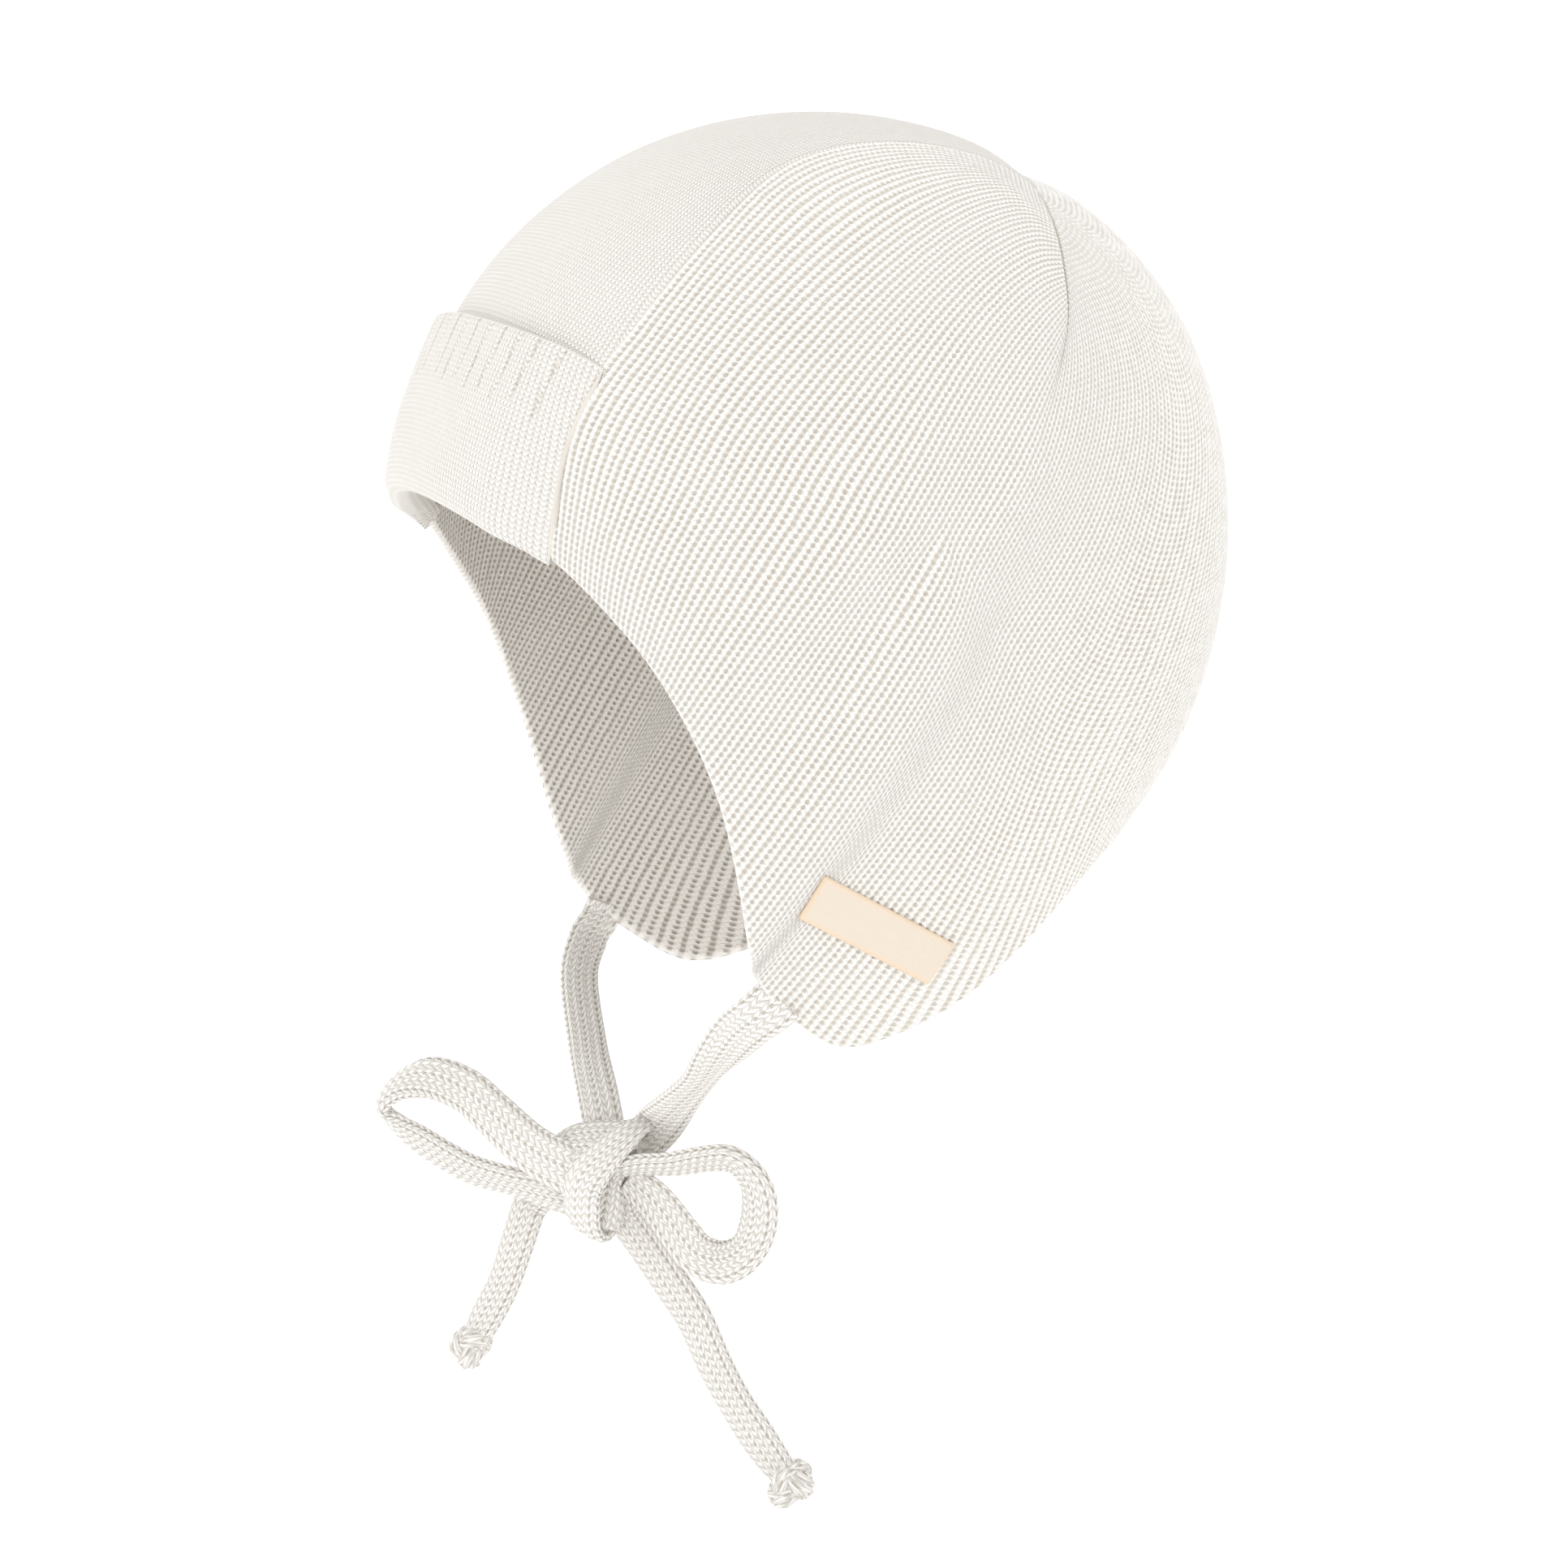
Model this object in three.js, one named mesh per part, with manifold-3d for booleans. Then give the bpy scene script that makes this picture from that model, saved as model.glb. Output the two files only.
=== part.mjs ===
// Baby bonnet of fine knit with ear flaps, a turned-up front cuff and flat ties in a bow.
// Millimetres. The face looks along -Y, the wearer's left is +X and +Z is up.
// The origin is where the crown of the head meets the inside of the cap.
// Shapes are laid out round the centre of the head form, on the line through the ears.
import * as THREE from "three";
import { mergeVertices } from "three/addons/utils/BufferGeometryUtils.js";
import Module from "manifold-3d";

const wasm = await Module();
wasm.setup();
const { clamp, degToRad, euclideanModulo, lerp, smoothstep } = THREE.MathUtils;

// Sizes of the cap
const HEAD_REACH = 81.6; // centre of the head form to the back of the cap
const HALF_WIDTH = 63.6; // centre to the outside of the cap over the ear
const SIDE_FULLNESS = 2.42; // 2 is an ellipse from crown to ear, more is squarer
const FLAP_DROP = 94.4; // centre down to the tip of an ear flap
const FLAP_TUCK = 0.057; // share of the half width lost at the tip of the flap
const WALL = 2; // rib knit and front panel
const GAP = 0.3; // clearance between pieces that touch

// Sizes of the front
const PANEL_HALF_WIDTH = 40.6;
const CUFF_HEIGHT = 34;
const CUFF_THICKNESS = 4; // a double layer that stands off the panel
const CUFF_LIFT = 0.5; // clearance of the cuff over the panel
const FOLD_HEIGHT = 4; // lowest stretch of the cuff, where it turns under the panel
const CUFF_FLARE = 0.6; // the cuff grows higher towards its ends, 0.41 is level
const END_THINNING = 0.75; // share of the cuff's thickness lost where its ends are sewn down
const THINNING_START = 0.78; // share of the half width where the thinning begins
const RIB_START = 22; // height at which the ribbed upper border of the cuff begins
const RIB_COUNT = 18;
const RIB_DEPTH = 0.5;

// Sizes of the crown seam
const SEAM_DIP = 1.6; // how far the form is drawn in along the seam
const DART_SHARE = 0.88836; // of the half width, out to the dart's end
const DART_HALF_SPAN = DART_SHARE * HALF_WIDTH;
const SEAM_WIDTH = 0.6; // slit of the dart
const SEAM_DEPTH = 1.1;

// Sizes of the label
const LABEL_LENGTH = 33;
const LABEL_HEIGHT = 8.8;
const LABEL_THICKNESS = 0.6;
const LABEL_SLOPE = -29; // degrees, down towards the back
const LABEL_BACK = -0.0946; // middle of the label, a share of the head reach
const LABEL_RISE = -0.763; // middle of the label, a share of the flap drop

// Sizes of the ties
const TIE_WIDTH = 7.6;
const TIE_THICKNESS = 2.6;
const KNOT_HALF_HEIGHT = 13;
const KNOT_HALF_WIDTH = 6;
const KNOT_HALF_DEPTH = 6;
const END_KNOT_HALF_LENGTH = 5;
const END_KNOT_HALF_WIDTH = 4.2;
const BOW_TURN = 48; // degrees that the bow is turned from face-on, towards the left

// Middle outline of the head form, every 30 degrees from the crown towards the back
const PROFILE = [
  { place: "crown", reach: 0.9 },
  { place: "crown back", reach: 0.922 },
  { place: "back, high", reach: 0.974 },
  { place: "back", reach: 1 },
  { place: "back, low", reach: 1.05 },
  { place: "nape", reach: 1.148 },
  { place: "neck", reach: 1.507 },
  { place: "chin", reach: 1.728 },
  { place: "face", reach: 1.105 },
  { place: "brow", reach: 0.94 },
  { place: "forehead", reach: 0.93 },
  { place: "crown front", reach: 0.909 },
];

// Lower edge of the cap seen from the side: back is a share of the head reach, and
// rise a share of the flap drop.
const HEM = [
  { place: "brow", back: -0.93, rise: 0.049 },
  { place: "end of the cuff", back: -0.777, rise: -0.068 },
  { place: "temple", back: -0.619, rise: -0.24 },
  { place: "cheek", back: -0.493, rise: -0.478 },
  { place: "front of the flap", back: -0.4, rise: -0.782 },
  { place: "tie, front edge", back: -0.371, rise: -0.847 },
  { place: "tie, back edge", back: -0.248, rise: -0.943 },
  { place: "tip of the flap", back: -0.086, rise: -1 },
  { place: "back of the flap", back: 0.179, rise: -0.941 },
  { place: "behind the ear", back: 0.435, rise: -0.802 },
  { place: "nape, side", back: 0.625, rise: -0.686 },
  { place: "nape", back: 0.748, rise: -0.678 },
];

// Half width of the front panel, every 21 degrees from the brow to the crown seam
const PANEL = [
  { place: "cuff fold", half: 0.948 },
  { place: "cuff", half: 0.921 },
  { place: "over the cuff", half: 1 },
  { place: "forehead", half: 0.936 },
  { place: "top front", half: 0.74 },
  { place: "top", half: 0.64 },
  { place: "crown seam", half: 0.603 },
];
const PANEL_START = degToRad(264);
const PANEL_STEP = degToRad(21.2);

// The crown seam lies at this turn behind the crown and bends back at the dart's end.
const SEAM_TURN = degToRad(391);
const SEAM_BEND = degToRad(9);
const DIP_SPREAD = degToRad(5);

// Routes of the ties round the head form's centre. Roll is the turn of the flat side
// away from the bow's own face, in degrees.
const LEAD_LEFT = [
  { x: 50, y: -22.5, z: -80, roll: -20 },
  { x: 49.5, y: -26.5, z: -84.5, roll: -20 },
  { x: 46, y: -29, z: -88, roll: -20 },
  { x: 40.5, y: -30, z: -91.5, roll: -15 },
  { x: 33, y: -31, z: -97, roll: -40 },
  { x: 24, y: -31, z: -103, roll: -60 },
  { x: 14, y: -32, z: -110, roll: -45 },
  { x: 4.5, y: -32.7, z: -117, roll: -15 },
  { x: -0.5, y: -37, z: -124, roll: -10 },
];
const LEAD_RIGHT = [
  { x: -50, y: -23, z: -80, roll: -50 },
  { x: -50, y: -24.5, z: -86.5, roll: -50 },
  { x: -47, y: -29, z: -90, roll: -50 },
  { x: -39.5, y: -33.5, z: -96.5, roll: -50 },
  { x: -24, y: -37, z: -106.5, roll: -45 },
  { x: -10, y: -39.5, z: -114, roll: -30 },
  { x: -2, y: -40, z: -124, roll: -20 },
];
const LOOP_LEFT = [
  { x: 0.5, y: -42, z: -128, roll: 0 },
  { x: -4.7, y: -47.6, z: -126, roll: 0 },
  { x: -9.9, y: -53.4, z: -122.6, roll: 0 },
  { x: -15.3, y: -59.5, z: -116.4, roll: 5 },
  { x: -19, y: -63.5, z: -112.5, roll: 10 },
  { x: -24, y: -69, z: -110.6, roll: 30 },
  { x: -28.5, y: -73.5, z: -112.5, roll: 55 },
  { x: -31.5, y: -76.5, z: -117, roll: 65 },
  { x: -31, y: -73.5, z: -121, roll: 45 },
  { x: -28.7, y: -69.8, z: -124.1, roll: 30 },
  { x: -24.6, y: -65.3, z: -127.1, roll: 27 },
  { x: -20.9, y: -61.2, z: -129.2, roll: 28 },
  { x: -15.9, y: -55.7, z: -130.4, roll: 33 },
  { x: -12, y: -51, z: -131.5, roll: 22 },
  { x: -8, y: -46.5, z: -132.5, roll: 8 },
  { x: -3, y: -42, z: -132, roll: 0 },
];
const LOOP_RIGHT = [
  { x: 0.5, y: -42, z: -126, roll: 75 },
  { x: 3.7, y: -39.4, z: -124.5, roll: 75 },
  { x: 6.8, y: -36, z: -123.5, roll: 75 },
  { x: 10.8, y: -31.5, z: -122.8, roll: 70 },
  { x: 15, y: -26.6, z: -121.3, roll: 60 },
  { x: 18.8, y: -22.7, z: -121, roll: 45 },
  { x: 21.2, y: -19.7, z: -124.2, roll: 30 },
  { x: 22, y: -18.6, z: -129.1, roll: 20 },
  { x: 21.2, y: -19.1, z: -134.8, roll: 20 },
  { x: 19, y: -21, z: -139.5, roll: 30 },
  { x: 15, y: -24, z: -141.8, roll: 20 },
  { x: 12, y: -27.5, z: -140.5, roll: 5 },
  { x: 9.7, y: -30, z: -137, roll: 0 },
  { x: 6.4, y: -34, z: -130.8, roll: 0 },
  { x: 3, y: -38, z: -127, roll: 0 },
];
const TAIL_LEFT = [
  { x: -5.6, y: -40.5, z: -131, roll: 0 },
  { x: -11.1, y: -43.7, z: -131.7, roll: 0 },
  { x: -16.9, y: -47.8, z: -133.3, roll: 8 },
  { x: -20.2, y: -50, z: -136.2, roll: 12 },
  { x: -20.8, y: -51.2, z: -139.5, roll: 14 },
  { x: -21, y: -53.1, z: -145.1, roll: 15 },
  { x: -21.9, y: -55.6, z: -152.9, roll: 16 },
  { x: -23.6, y: -59, z: -160.3, roll: 15 },
  { x: -25.7, y: -61.3, z: -165.8, roll: 12 },
];
const TAIL_RIGHT = [
  { x: -1, y: -38, z: -130.5, roll: 0 },
  { x: -2.4, y: -36.9, z: -135.9, roll: 0 },
  { x: -0.8, y: -32.9, z: -142.4, roll: 3 },
  { x: 2.3, y: -29.5, z: -148.4, roll: 6 },
  { x: 6, y: -26, z: -155, roll: 8 },
  { x: 8.8, y: -22.9, z: -163.6, roll: 10 },
  { x: 12.5, y: -20.3, z: -170.1, roll: 12 },
  { x: 16.6, y: -17.3, z: -176.1, roll: 8 },
  { x: 19.2, y: -14.4, z: -181.1, roll: 4 },
  { x: 21.5, y: -11.9, z: -184.9, roll: 4 },
];
const BOW_KNOT = { x: 0, y: -40.4, z: -127, lean: 22 };

// Smooth value of one column between the rows of a table
function between(rows, column, place, closed) {
  const count = rows.length;
  const row = closed ? Math.floor(place) : Math.min(Math.max(Math.floor(place), 0), count - 2);
  const value = (k) => {
    if (closed) return rows[((k % count) + count) % count][column];
    if (k < 0) return 2 * rows[0][column] - rows[1][column];
    if (k >= count) return 2 * rows[count - 1][column] - rows[count - 2][column];
    return rows[k][column];
  };
  const [a, b, c, d] = [value(row - 1), value(row), value(row + 1), value(row + 2)];
  const f = place - row;
  const cubic = 3 * b - a - 3 * c + d;
  const square = 2 * a - 5 * b + 4 * c - d;
  return b + 0.5 * f * (c - a + f * (square + f * cubic));
}

// Head form
function profileReach(turn) {
  return HEAD_REACH * between(PROFILE, "reach", turn / degToRad(30), true);
}

function halfWidthAtHeight(z) {
  const down = Math.max(-z / FLAP_DROP, 0);
  return HALF_WIDTH * (1 - FLAP_TUCK * down * down);
}

function seamTurn(x) {
  return SEAM_TURN + SEAM_BEND * Math.pow(Math.abs(x) / DART_HALF_SPAN, 4);
}

// How far the form is drawn in at a sideways place and a turn about the ear line
function seamDip(x, turn) {
  const whole = 2 * Math.PI;
  const away = euclideanModulo(turn - seamTurn(x) + Math.PI, whole) - Math.PI;
  const along = 1 - smoothstep(Math.abs(x), 0.8 * DART_HALF_SPAN, DART_HALF_SPAN);
  return SEAM_DIP * along * Math.exp(-((away / DIP_SPREAD) ** 2));
}

// Point of the form at a sideways place and a turn, some way outside (or inside) it
function onForm(x, turn, outward) {
  let z = 0;
  let radius = 0;
  for (let pass = 0; pass < 4; pass += 1) {
    const across = Math.min(Math.abs(x) / (halfWidthAtHeight(z) + outward), 1);
    const full = profileReach(turn) + outward - seamDip(x, turn);
    radius = full * Math.pow(1 - across * across, 1 / SIDE_FULLNESS);
    z = radius * Math.cos(turn);
  }
  return new THREE.Vector3(x, radius * Math.sin(turn), z);
}

// Half width of the form at a point of its middle plane
function halfWidthAt(y, z, outward) {
  const share = Math.min(Math.hypot(y, z) / (profileReach(Math.atan2(y, z)) + outward), 1);
  return (halfWidthAtHeight(z) + outward) * Math.sqrt(1 - Math.pow(share, SIDE_FULLNESS));
}

// Hem
function hemPoint(place) {
  const y = HEAD_REACH * between(HEM, "back", place, false);
  const z = FLAP_DROP * between(HEM, "rise", place, false);
  return new THREE.Vector2(y, z);
}

// Turn of the fold of the cuff at a sideways place, found along the hem from the brow
function foldTurn(x) {
  let low = 0;
  let high = 2.5;
  for (let pass = 0; pass < 30; pass += 1) {
    const middle = (low + high) / 2;
    const point = hemPoint(middle);
    if (halfWidthAt(point.x, point.y, 0) < Math.abs(x)) low = middle;
    else high = middle;
  }
  const point = hemPoint(low);
  return Math.atan2(point.x, point.y) + 2 * Math.PI;
}

function panelHalf(turn) {
  const place = Math.min(Math.max((turn - PANEL_START) / PANEL_STEP, 0), PANEL.length - 1);
  return PANEL_HALF_WIDTH * between(PANEL, "half", place, false);
}

// Turn at a height over the fold of the cuff, at a sideways place
function turnOverFold(x, height) {
  const across = x / HALF_WIDTH;
  const radius = profileReach(PANEL_START) * Math.pow(1 - across * across, CUFF_FLARE);
  return foldTurn(x) + height / radius;
}

// Sideways place and turn at a share across the panel, and a share of the way from
// the cuff's fold part to the crown seam
function panelPlace(across, along) {
  const x = across * panelHalf(lerp(turnOverFold(0, FOLD_HEIGHT), seamTurn(0), along));
  return { x, turn: lerp(turnOverFold(x, FOLD_HEIGHT), seamTurn(x), along) };
}

// Solids and booleans
function solidOf(geometry) {
  geometry.deleteAttribute("normal");
  geometry.deleteAttribute("uv");
  const merged = mergeVertices(geometry, 1e-4);
  return new wasm.Manifold(
    new wasm.Mesh({
      numProp: 3,
      vertProperties: merged.attributes.position.array,
      triVerts: new Uint32Array(merged.index.array),
    }),
  );
}

function geometryOf(solid) {
  const mesh = solid.getMesh();
  const geometry = new THREE.BufferGeometry();
  geometry.setAttribute("position", new THREE.BufferAttribute(mesh.vertProperties, 3));
  geometry.setIndex(new THREE.BufferAttribute(mesh.triVerts, 1));
  geometry.computeVertexNormals();
  return geometry;
}

// A geometry with each of its points moved to place(point)
function moved(geometry, place) {
  const position = geometry.attributes.position;
  const point = new THREE.Vector3();
  for (let i = 0; i < position.count; i += 1) {
    const target = place(point.fromBufferAttribute(position, i));
    position.setXYZ(i, target.x, target.y, target.z);
  }
  return geometry;
}

// A slab with sides from 0 to 1, in so many parts each way, bent by place(u, v, w)
function bentSlab(partsAcross, partsAlong, place) {
  const slab = new THREE.BoxGeometry(1, 1, 1, partsAcross, partsAlong, 1);
  return moved(slab, (p) => place(p.x + 0.5, p.y + 0.5, p.z + 0.5));
}

// Head form as a closed solid, with its poles at the ears
function headSolid(outward, aroundParts, acrossParts) {
  const ball = new THREE.SphereGeometry(1, aroundParts, acrossParts);
  const form = moved(ball, (p) => {
    const turn = Math.atan2(p.z, p.x);
    const slant = Math.acos(clamp(p.y, -1, 1));
    const guess = HALF_WIDTH * Math.cos(slant);
    const full = profileReach(turn) + outward - seamDip(guess, turn);
    const radius = full * Math.pow(Math.sin(slant), 2 / SIDE_FULLNESS);
    const y = radius * Math.sin(turn);
    const z = radius * Math.cos(turn);
    return new THREE.Vector3((halfWidthAtHeight(z) + outward) * Math.cos(slant), y, z);
  });
  return solidOf(form);
}

// Everything above the hem, lowered by a clearance, as a prism through both sides
function aboveHem(clearance) {
  const last = HEM.length - 1;
  const steps = 4 * last;
  const reach = 2.4 * HEAD_REACH; // past the cap every way
  const browRise = 0.2 * HEAD_REACH; // climb of the outline from the brow outwards
  const outline = new THREE.Shape();
  outline.moveTo(-reach, reach);
  outline.lineTo(-reach, hemPoint(0).y + browRise);
  for (let i = 0; i <= steps; i += 1) {
    const place = (last * i) / steps;
    const ahead = hemPoint(place + 0.02).sub(hemPoint(place - 0.02)).normalize();
    const point = hemPoint(place);
    outline.lineTo(point.x + clearance * ahead.y, point.y - clearance * ahead.x);
  }
  outline.lineTo(reach, hemPoint(last).y);
  outline.lineTo(reach, reach);
  outline.closePath();
  const width = 4 * HALF_WIDTH;
  const prism = new THREE.ExtrudeGeometry(outline, { depth: width, bevelEnabled: false });
  // The outline's x is the part's y, its y the part's z, and its depth runs along x.
  return solidOf(moved(prism, (p) => new THREE.Vector3(p.z - width / 2, p.x, p.y)));
}

// Slab that cuts the panel's opening in the cap, a gap wider than the panel
function panelOpening() {
  const start = -0.15; // below the fold, past the hem
  return solidOf(
    bentSlab(6, 28, (u, v, w) => {
      const side = 2 * u - 1;
      const { x, turn } = panelPlace(side, lerp(start, 1, v));
      const beyond = v === 1 ? GAP / HEAD_REACH : 0;
      return onForm(x + side * GAP, turn + beyond, lerp(-2 * WALL, 2 * WALL, w));
    }),
  );
}

// Slit of the dart, from the panel's corner to the dart's end on one side
function dartSlit(side) {
  return solidOf(
    bentSlab(14, 1, (u, v, w) => {
      const x = side * lerp(panelHalf(SEAM_TURN) - WALL, DART_HALF_SPAN, side > 0 ? u : 1 - u);
      const point = onForm(x, seamTurn(x), lerp(-SEAM_DEPTH, WALL, w));
      const radius = Math.hypot(point.y, point.z);
      const turn = seamTurn(x) + ((v - 0.5) * SEAM_WIDTH) / radius;
      return new THREE.Vector3(x, radius * Math.sin(turn), radius * Math.cos(turn));
    }),
  );
}

function ribCap() {
  const lining = headSolid(-WALL, 36, 20);
  const shell = headSolid(0, 48, 26).subtract(lining);
  let cap = shell.intersect(aboveHem(0)).subtract(panelOpening());
  for (const side of [1, -1]) cap = cap.subtract(dartSlit(side));
  return geometryOf(cap);
}

function frontPanel() {
  return geometryOf(
    solidOf(
      bentSlab(12, 24, (u, v, w) => {
        const { x, turn } = panelPlace(2 * u - 1, v);
        return onForm(x, turn, (w - 1) * WALL);
      }),
    ),
  );
}

// Section of the cuff: up is the way from the fold, out the distance from the form
function cuffSection() {
  const outside = CUFF_LIFT + CUFF_THICKNESS;
  const round = 0.45 * CUFF_THICKNESS;
  const seat = FOLD_HEIGHT - GAP;
  const section = new THREE.Shape();
  section.moveTo(seat, -WALL);
  section.lineTo(round, -WALL);
  section.quadraticCurveTo(0, -WALL, 0, round - WALL);
  section.lineTo(0, outside - round);
  section.quadraticCurveTo(0, outside, round, outside);
  for (let i = 1; i <= 3; i += 1) {
    section.lineTo(lerp(round, RIB_START, i / 3), outside);
  }
  section.lineTo(CUFF_HEIGHT - round, outside);
  section.quadraticCurveTo(CUFF_HEIGHT, outside, CUFF_HEIGHT, outside - round);
  for (let i = 0; i <= 7; i += 1) {
    section.lineTo(lerp(CUFF_HEIGHT, seat, i / 7), CUFF_LIFT);
  }
  section.closePath();
  return section;
}

function frontCuff() {
  const steps = 3 * RIB_COUNT;
  const options = { depth: 1, steps, curveSegments: 2, bevelEnabled: false };
  const band = new THREE.ExtrudeGeometry(cuffSection(), options);
  const bent = moved(band, (p) => {
    const side = 2 * p.z - 1;
    const x = side * panelHalf(turnOverFold(0, p.x));
    const wave = 0.5 - 0.5 * Math.cos(2 * Math.PI * RIB_COUNT * p.z);
    const ribbed = smoothstep(p.x, RIB_START - 1, RIB_START + 1);
    const groove = p.y > 0.5 * CUFF_THICKNESS ? RIB_DEPTH * wave * ribbed : 0;
    const thinned = 1 - END_THINNING * smoothstep(Math.abs(side), THINNING_START, 1);
    const proud = Math.max(p.y - groove - CUFF_LIFT, 0) * thinned;
    return onForm(x, turnOverFold(x, p.x), Math.min(p.y, CUFF_LIFT) + proud);
  });
  return geometryOf(solidOf(bent));
}

// Label sewn on the left ear flap, following the cap
function sideLabel() {
  const centre = new THREE.Vector2(LABEL_BACK * HEAD_REACH, LABEL_RISE * FLAP_DROP);
  const slope = degToRad(LABEL_SLOPE);
  return geometryOf(
    solidOf(
      bentSlab(8, 3, (u, v, w) => {
        const along = (u - 0.5) * LABEL_LENGTH;
        const up = (v - 0.5) * LABEL_HEIGHT;
        const y = centre.x + along * Math.cos(slope) - up * Math.sin(slope);
        const z = centre.y + along * Math.sin(slope) + up * Math.cos(slope);
        return new THREE.Vector3(halfWidthAt(y, z, 0) + GAP + w * LABEL_THICKNESS, y, z);
      }),
    ),
  );
}

// Ties
const BOW_FACE = new THREE.Vector3(Math.sin(degToRad(BOW_TURN)), -Math.cos(degToRad(BOW_TURN)), 0);

// A route through chosen points, whose frames follow the roll of the flat tie
class TieRoute extends THREE.CatmullRomCurve3 {
  constructor(rows) {
    super(rows.map((row) => new THREE.Vector3(row.x, row.y, row.z)));
    this.rows = rows;
  }

  computeFrenetFrames(segments) {
    const frames = { tangents: [], normals: [], binormals: [] };
    for (let i = 0; i <= segments; i += 1) {
      const share = i / segments;
      const tangent = this.getTangentAt(share);
      const row = this.getUtoTmapping(share) * (this.rows.length - 1);
      const roll = degToRad(between(this.rows, "roll", row, false));
      const flat = new THREE.Vector3().crossVectors(BOW_FACE, tangent).normalize();
      const out = new THREE.Vector3().crossVectors(tangent, flat);
      const across = flat.clone().multiplyScalar(Math.cos(roll)).addScaledVector(out, Math.sin(roll));
      frames.tangents.push(tangent);
      frames.normals.push(across);
      frames.binormals.push(new THREE.Vector3().crossVectors(tangent, across));
    }
    return frames;
  }
}

function tieSection() {
  const section = new THREE.Shape();
  const sides = 8;
  for (let i = 0; i < sides; i += 1) {
    const angle = (2 * Math.PI * (i + 0.5)) / sides;
    const x = (TIE_WIDTH / 2) * Math.cos(angle);
    const y = (TIE_THICKNESS / 2) * Math.sign(Math.sin(angle)) * Math.sqrt(Math.abs(Math.sin(angle)));
    if (i === 0) section.moveTo(x, y);
    else section.lineTo(x, y);
  }
  section.closePath();
  return section;
}

function tieSolid(rows, steps) {
  const options = { steps, extrudePath: new TieRoute(rows), bevelEnabled: false };
  return solidOf(new THREE.ExtrudeGeometry(tieSection(), options));
}

// A rounded lump of half sizes grown by a clearance, set by a matrix
function lump(halfSizes, clearance, matrix, aroundParts, acrossParts) {
  const ball = new THREE.SphereGeometry(1, aroundParts, acrossParts);
  ball.scale(halfSizes.x + clearance, halfSizes.y + clearance, halfSizes.z + clearance);
  ball.applyMatrix4(matrix);
  return solidOf(ball);
}

// Knot: it stands up in the bow's own plane and leans in it.
function knotSolid(clearance) {
  const turn = new THREE.Matrix4().makeRotationZ(degToRad(BOW_TURN));
  turn.setPosition(BOW_KNOT.x, BOW_KNOT.y, BOW_KNOT.z);
  const lean = new THREE.Matrix4().makeRotationY(degToRad(BOW_KNOT.lean));
  const half = new THREE.Vector3(KNOT_HALF_WIDTH, KNOT_HALF_DEPTH, KNOT_HALF_HEIGHT);
  return lump(half, clearance, turn.multiply(lean), 16, 10);
}

function endKnotSolid(rows, clearance) {
  const last = rows[rows.length - 1];
  const before = rows[rows.length - 2];
  const end = new THREE.Vector3(last.x, last.y, last.z);
  const way = end.clone().sub(new THREE.Vector3(before.x, before.y, before.z)).normalize();
  const spin = new THREE.Quaternion().setFromUnitVectors(new THREE.Vector3(0, 1, 0), way);
  const half = new THREE.Vector3(END_KNOT_HALF_WIDTH, END_KNOT_HALF_LENGTH, END_KNOT_HALF_WIDTH);
  const matrix = new THREE.Matrix4().compose(end, spin, new THREE.Vector3(1, 1, 1));
  return lump(half, clearance, matrix, 12, 8);
}

function tieLead(rows) {
  return geometryOf(tieSolid(rows, 16).subtract(aboveHem(GAP)).subtract(knotSolid(GAP)));
}

function bowLoop(rows) {
  return geometryOf(tieSolid(rows, 34).subtract(knotSolid(GAP)));
}

function tieTail(rows) {
  const tail = tieSolid(rows, 14).subtract(knotSolid(GAP));
  return geometryOf(tail.subtract(endKnotSolid(rows, GAP)));
}

// Materials, from the photograph's off-white cotton
const RIB_KNIT = new THREE.MeshStandardMaterial({ color: 0xede6de, roughness: 0.95, metalness: 0 });
const SMOOTH_KNIT = new THREE.MeshStandardMaterial({ color: 0xf0eae3, roughness: 0.92, metalness: 0 });
const TIE_KNIT = new THREE.MeshStandardMaterial({ color: 0xebe4dc, roughness: 0.95, metalness: 0 });
const LABEL_WEAVE = new THREE.MeshStandardMaterial({ color: 0xfdeede, roughness: 0.8, metalness: 0 });

const head = new THREE.Group();
head.position.z = WALL - profileReach(0);

function add(name, geometry, material) {
  const mesh = new THREE.Mesh(geometry, material);
  mesh.name = name;
  head.add(mesh);
}

add("rib_cap", ribCap(), RIB_KNIT);
add("front_panel", frontPanel(), SMOOTH_KNIT);
add("front_cuff", frontCuff(), SMOOTH_KNIT);
add("side_label", sideLabel(), LABEL_WEAVE);
add("tie_lead_left", tieLead(LEAD_LEFT), TIE_KNIT);
add("tie_lead_right", tieLead(LEAD_RIGHT), TIE_KNIT);
add("bow_knot", geometryOf(knotSolid(0)), TIE_KNIT);
add("bow_loop_left", bowLoop(LOOP_LEFT), TIE_KNIT);
add("bow_loop_right", bowLoop(LOOP_RIGHT), TIE_KNIT);
add("tie_tail_left", tieTail(TAIL_LEFT), TIE_KNIT);
add("tie_tail_right", tieTail(TAIL_RIGHT), TIE_KNIT);
add("end_knot_left", geometryOf(endKnotSolid(TAIL_LEFT, 0)), TIE_KNIT);
add("end_knot_right", geometryOf(endKnotSolid(TAIL_RIGHT, 0)), TIE_KNIT);

const bonnet = new THREE.Group();
bonnet.add(head);

export default bonnet;
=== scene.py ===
"""Baby bonnet of fine cotton knit: rib cap with ear flaps, smooth front panel, turned-up
cuff, bare woven label, and flat knitted ties in a bow. Laid out as a Blender add-on."""

import bpy
import numpy as np
from mathutils import Matrix, Vector


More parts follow.
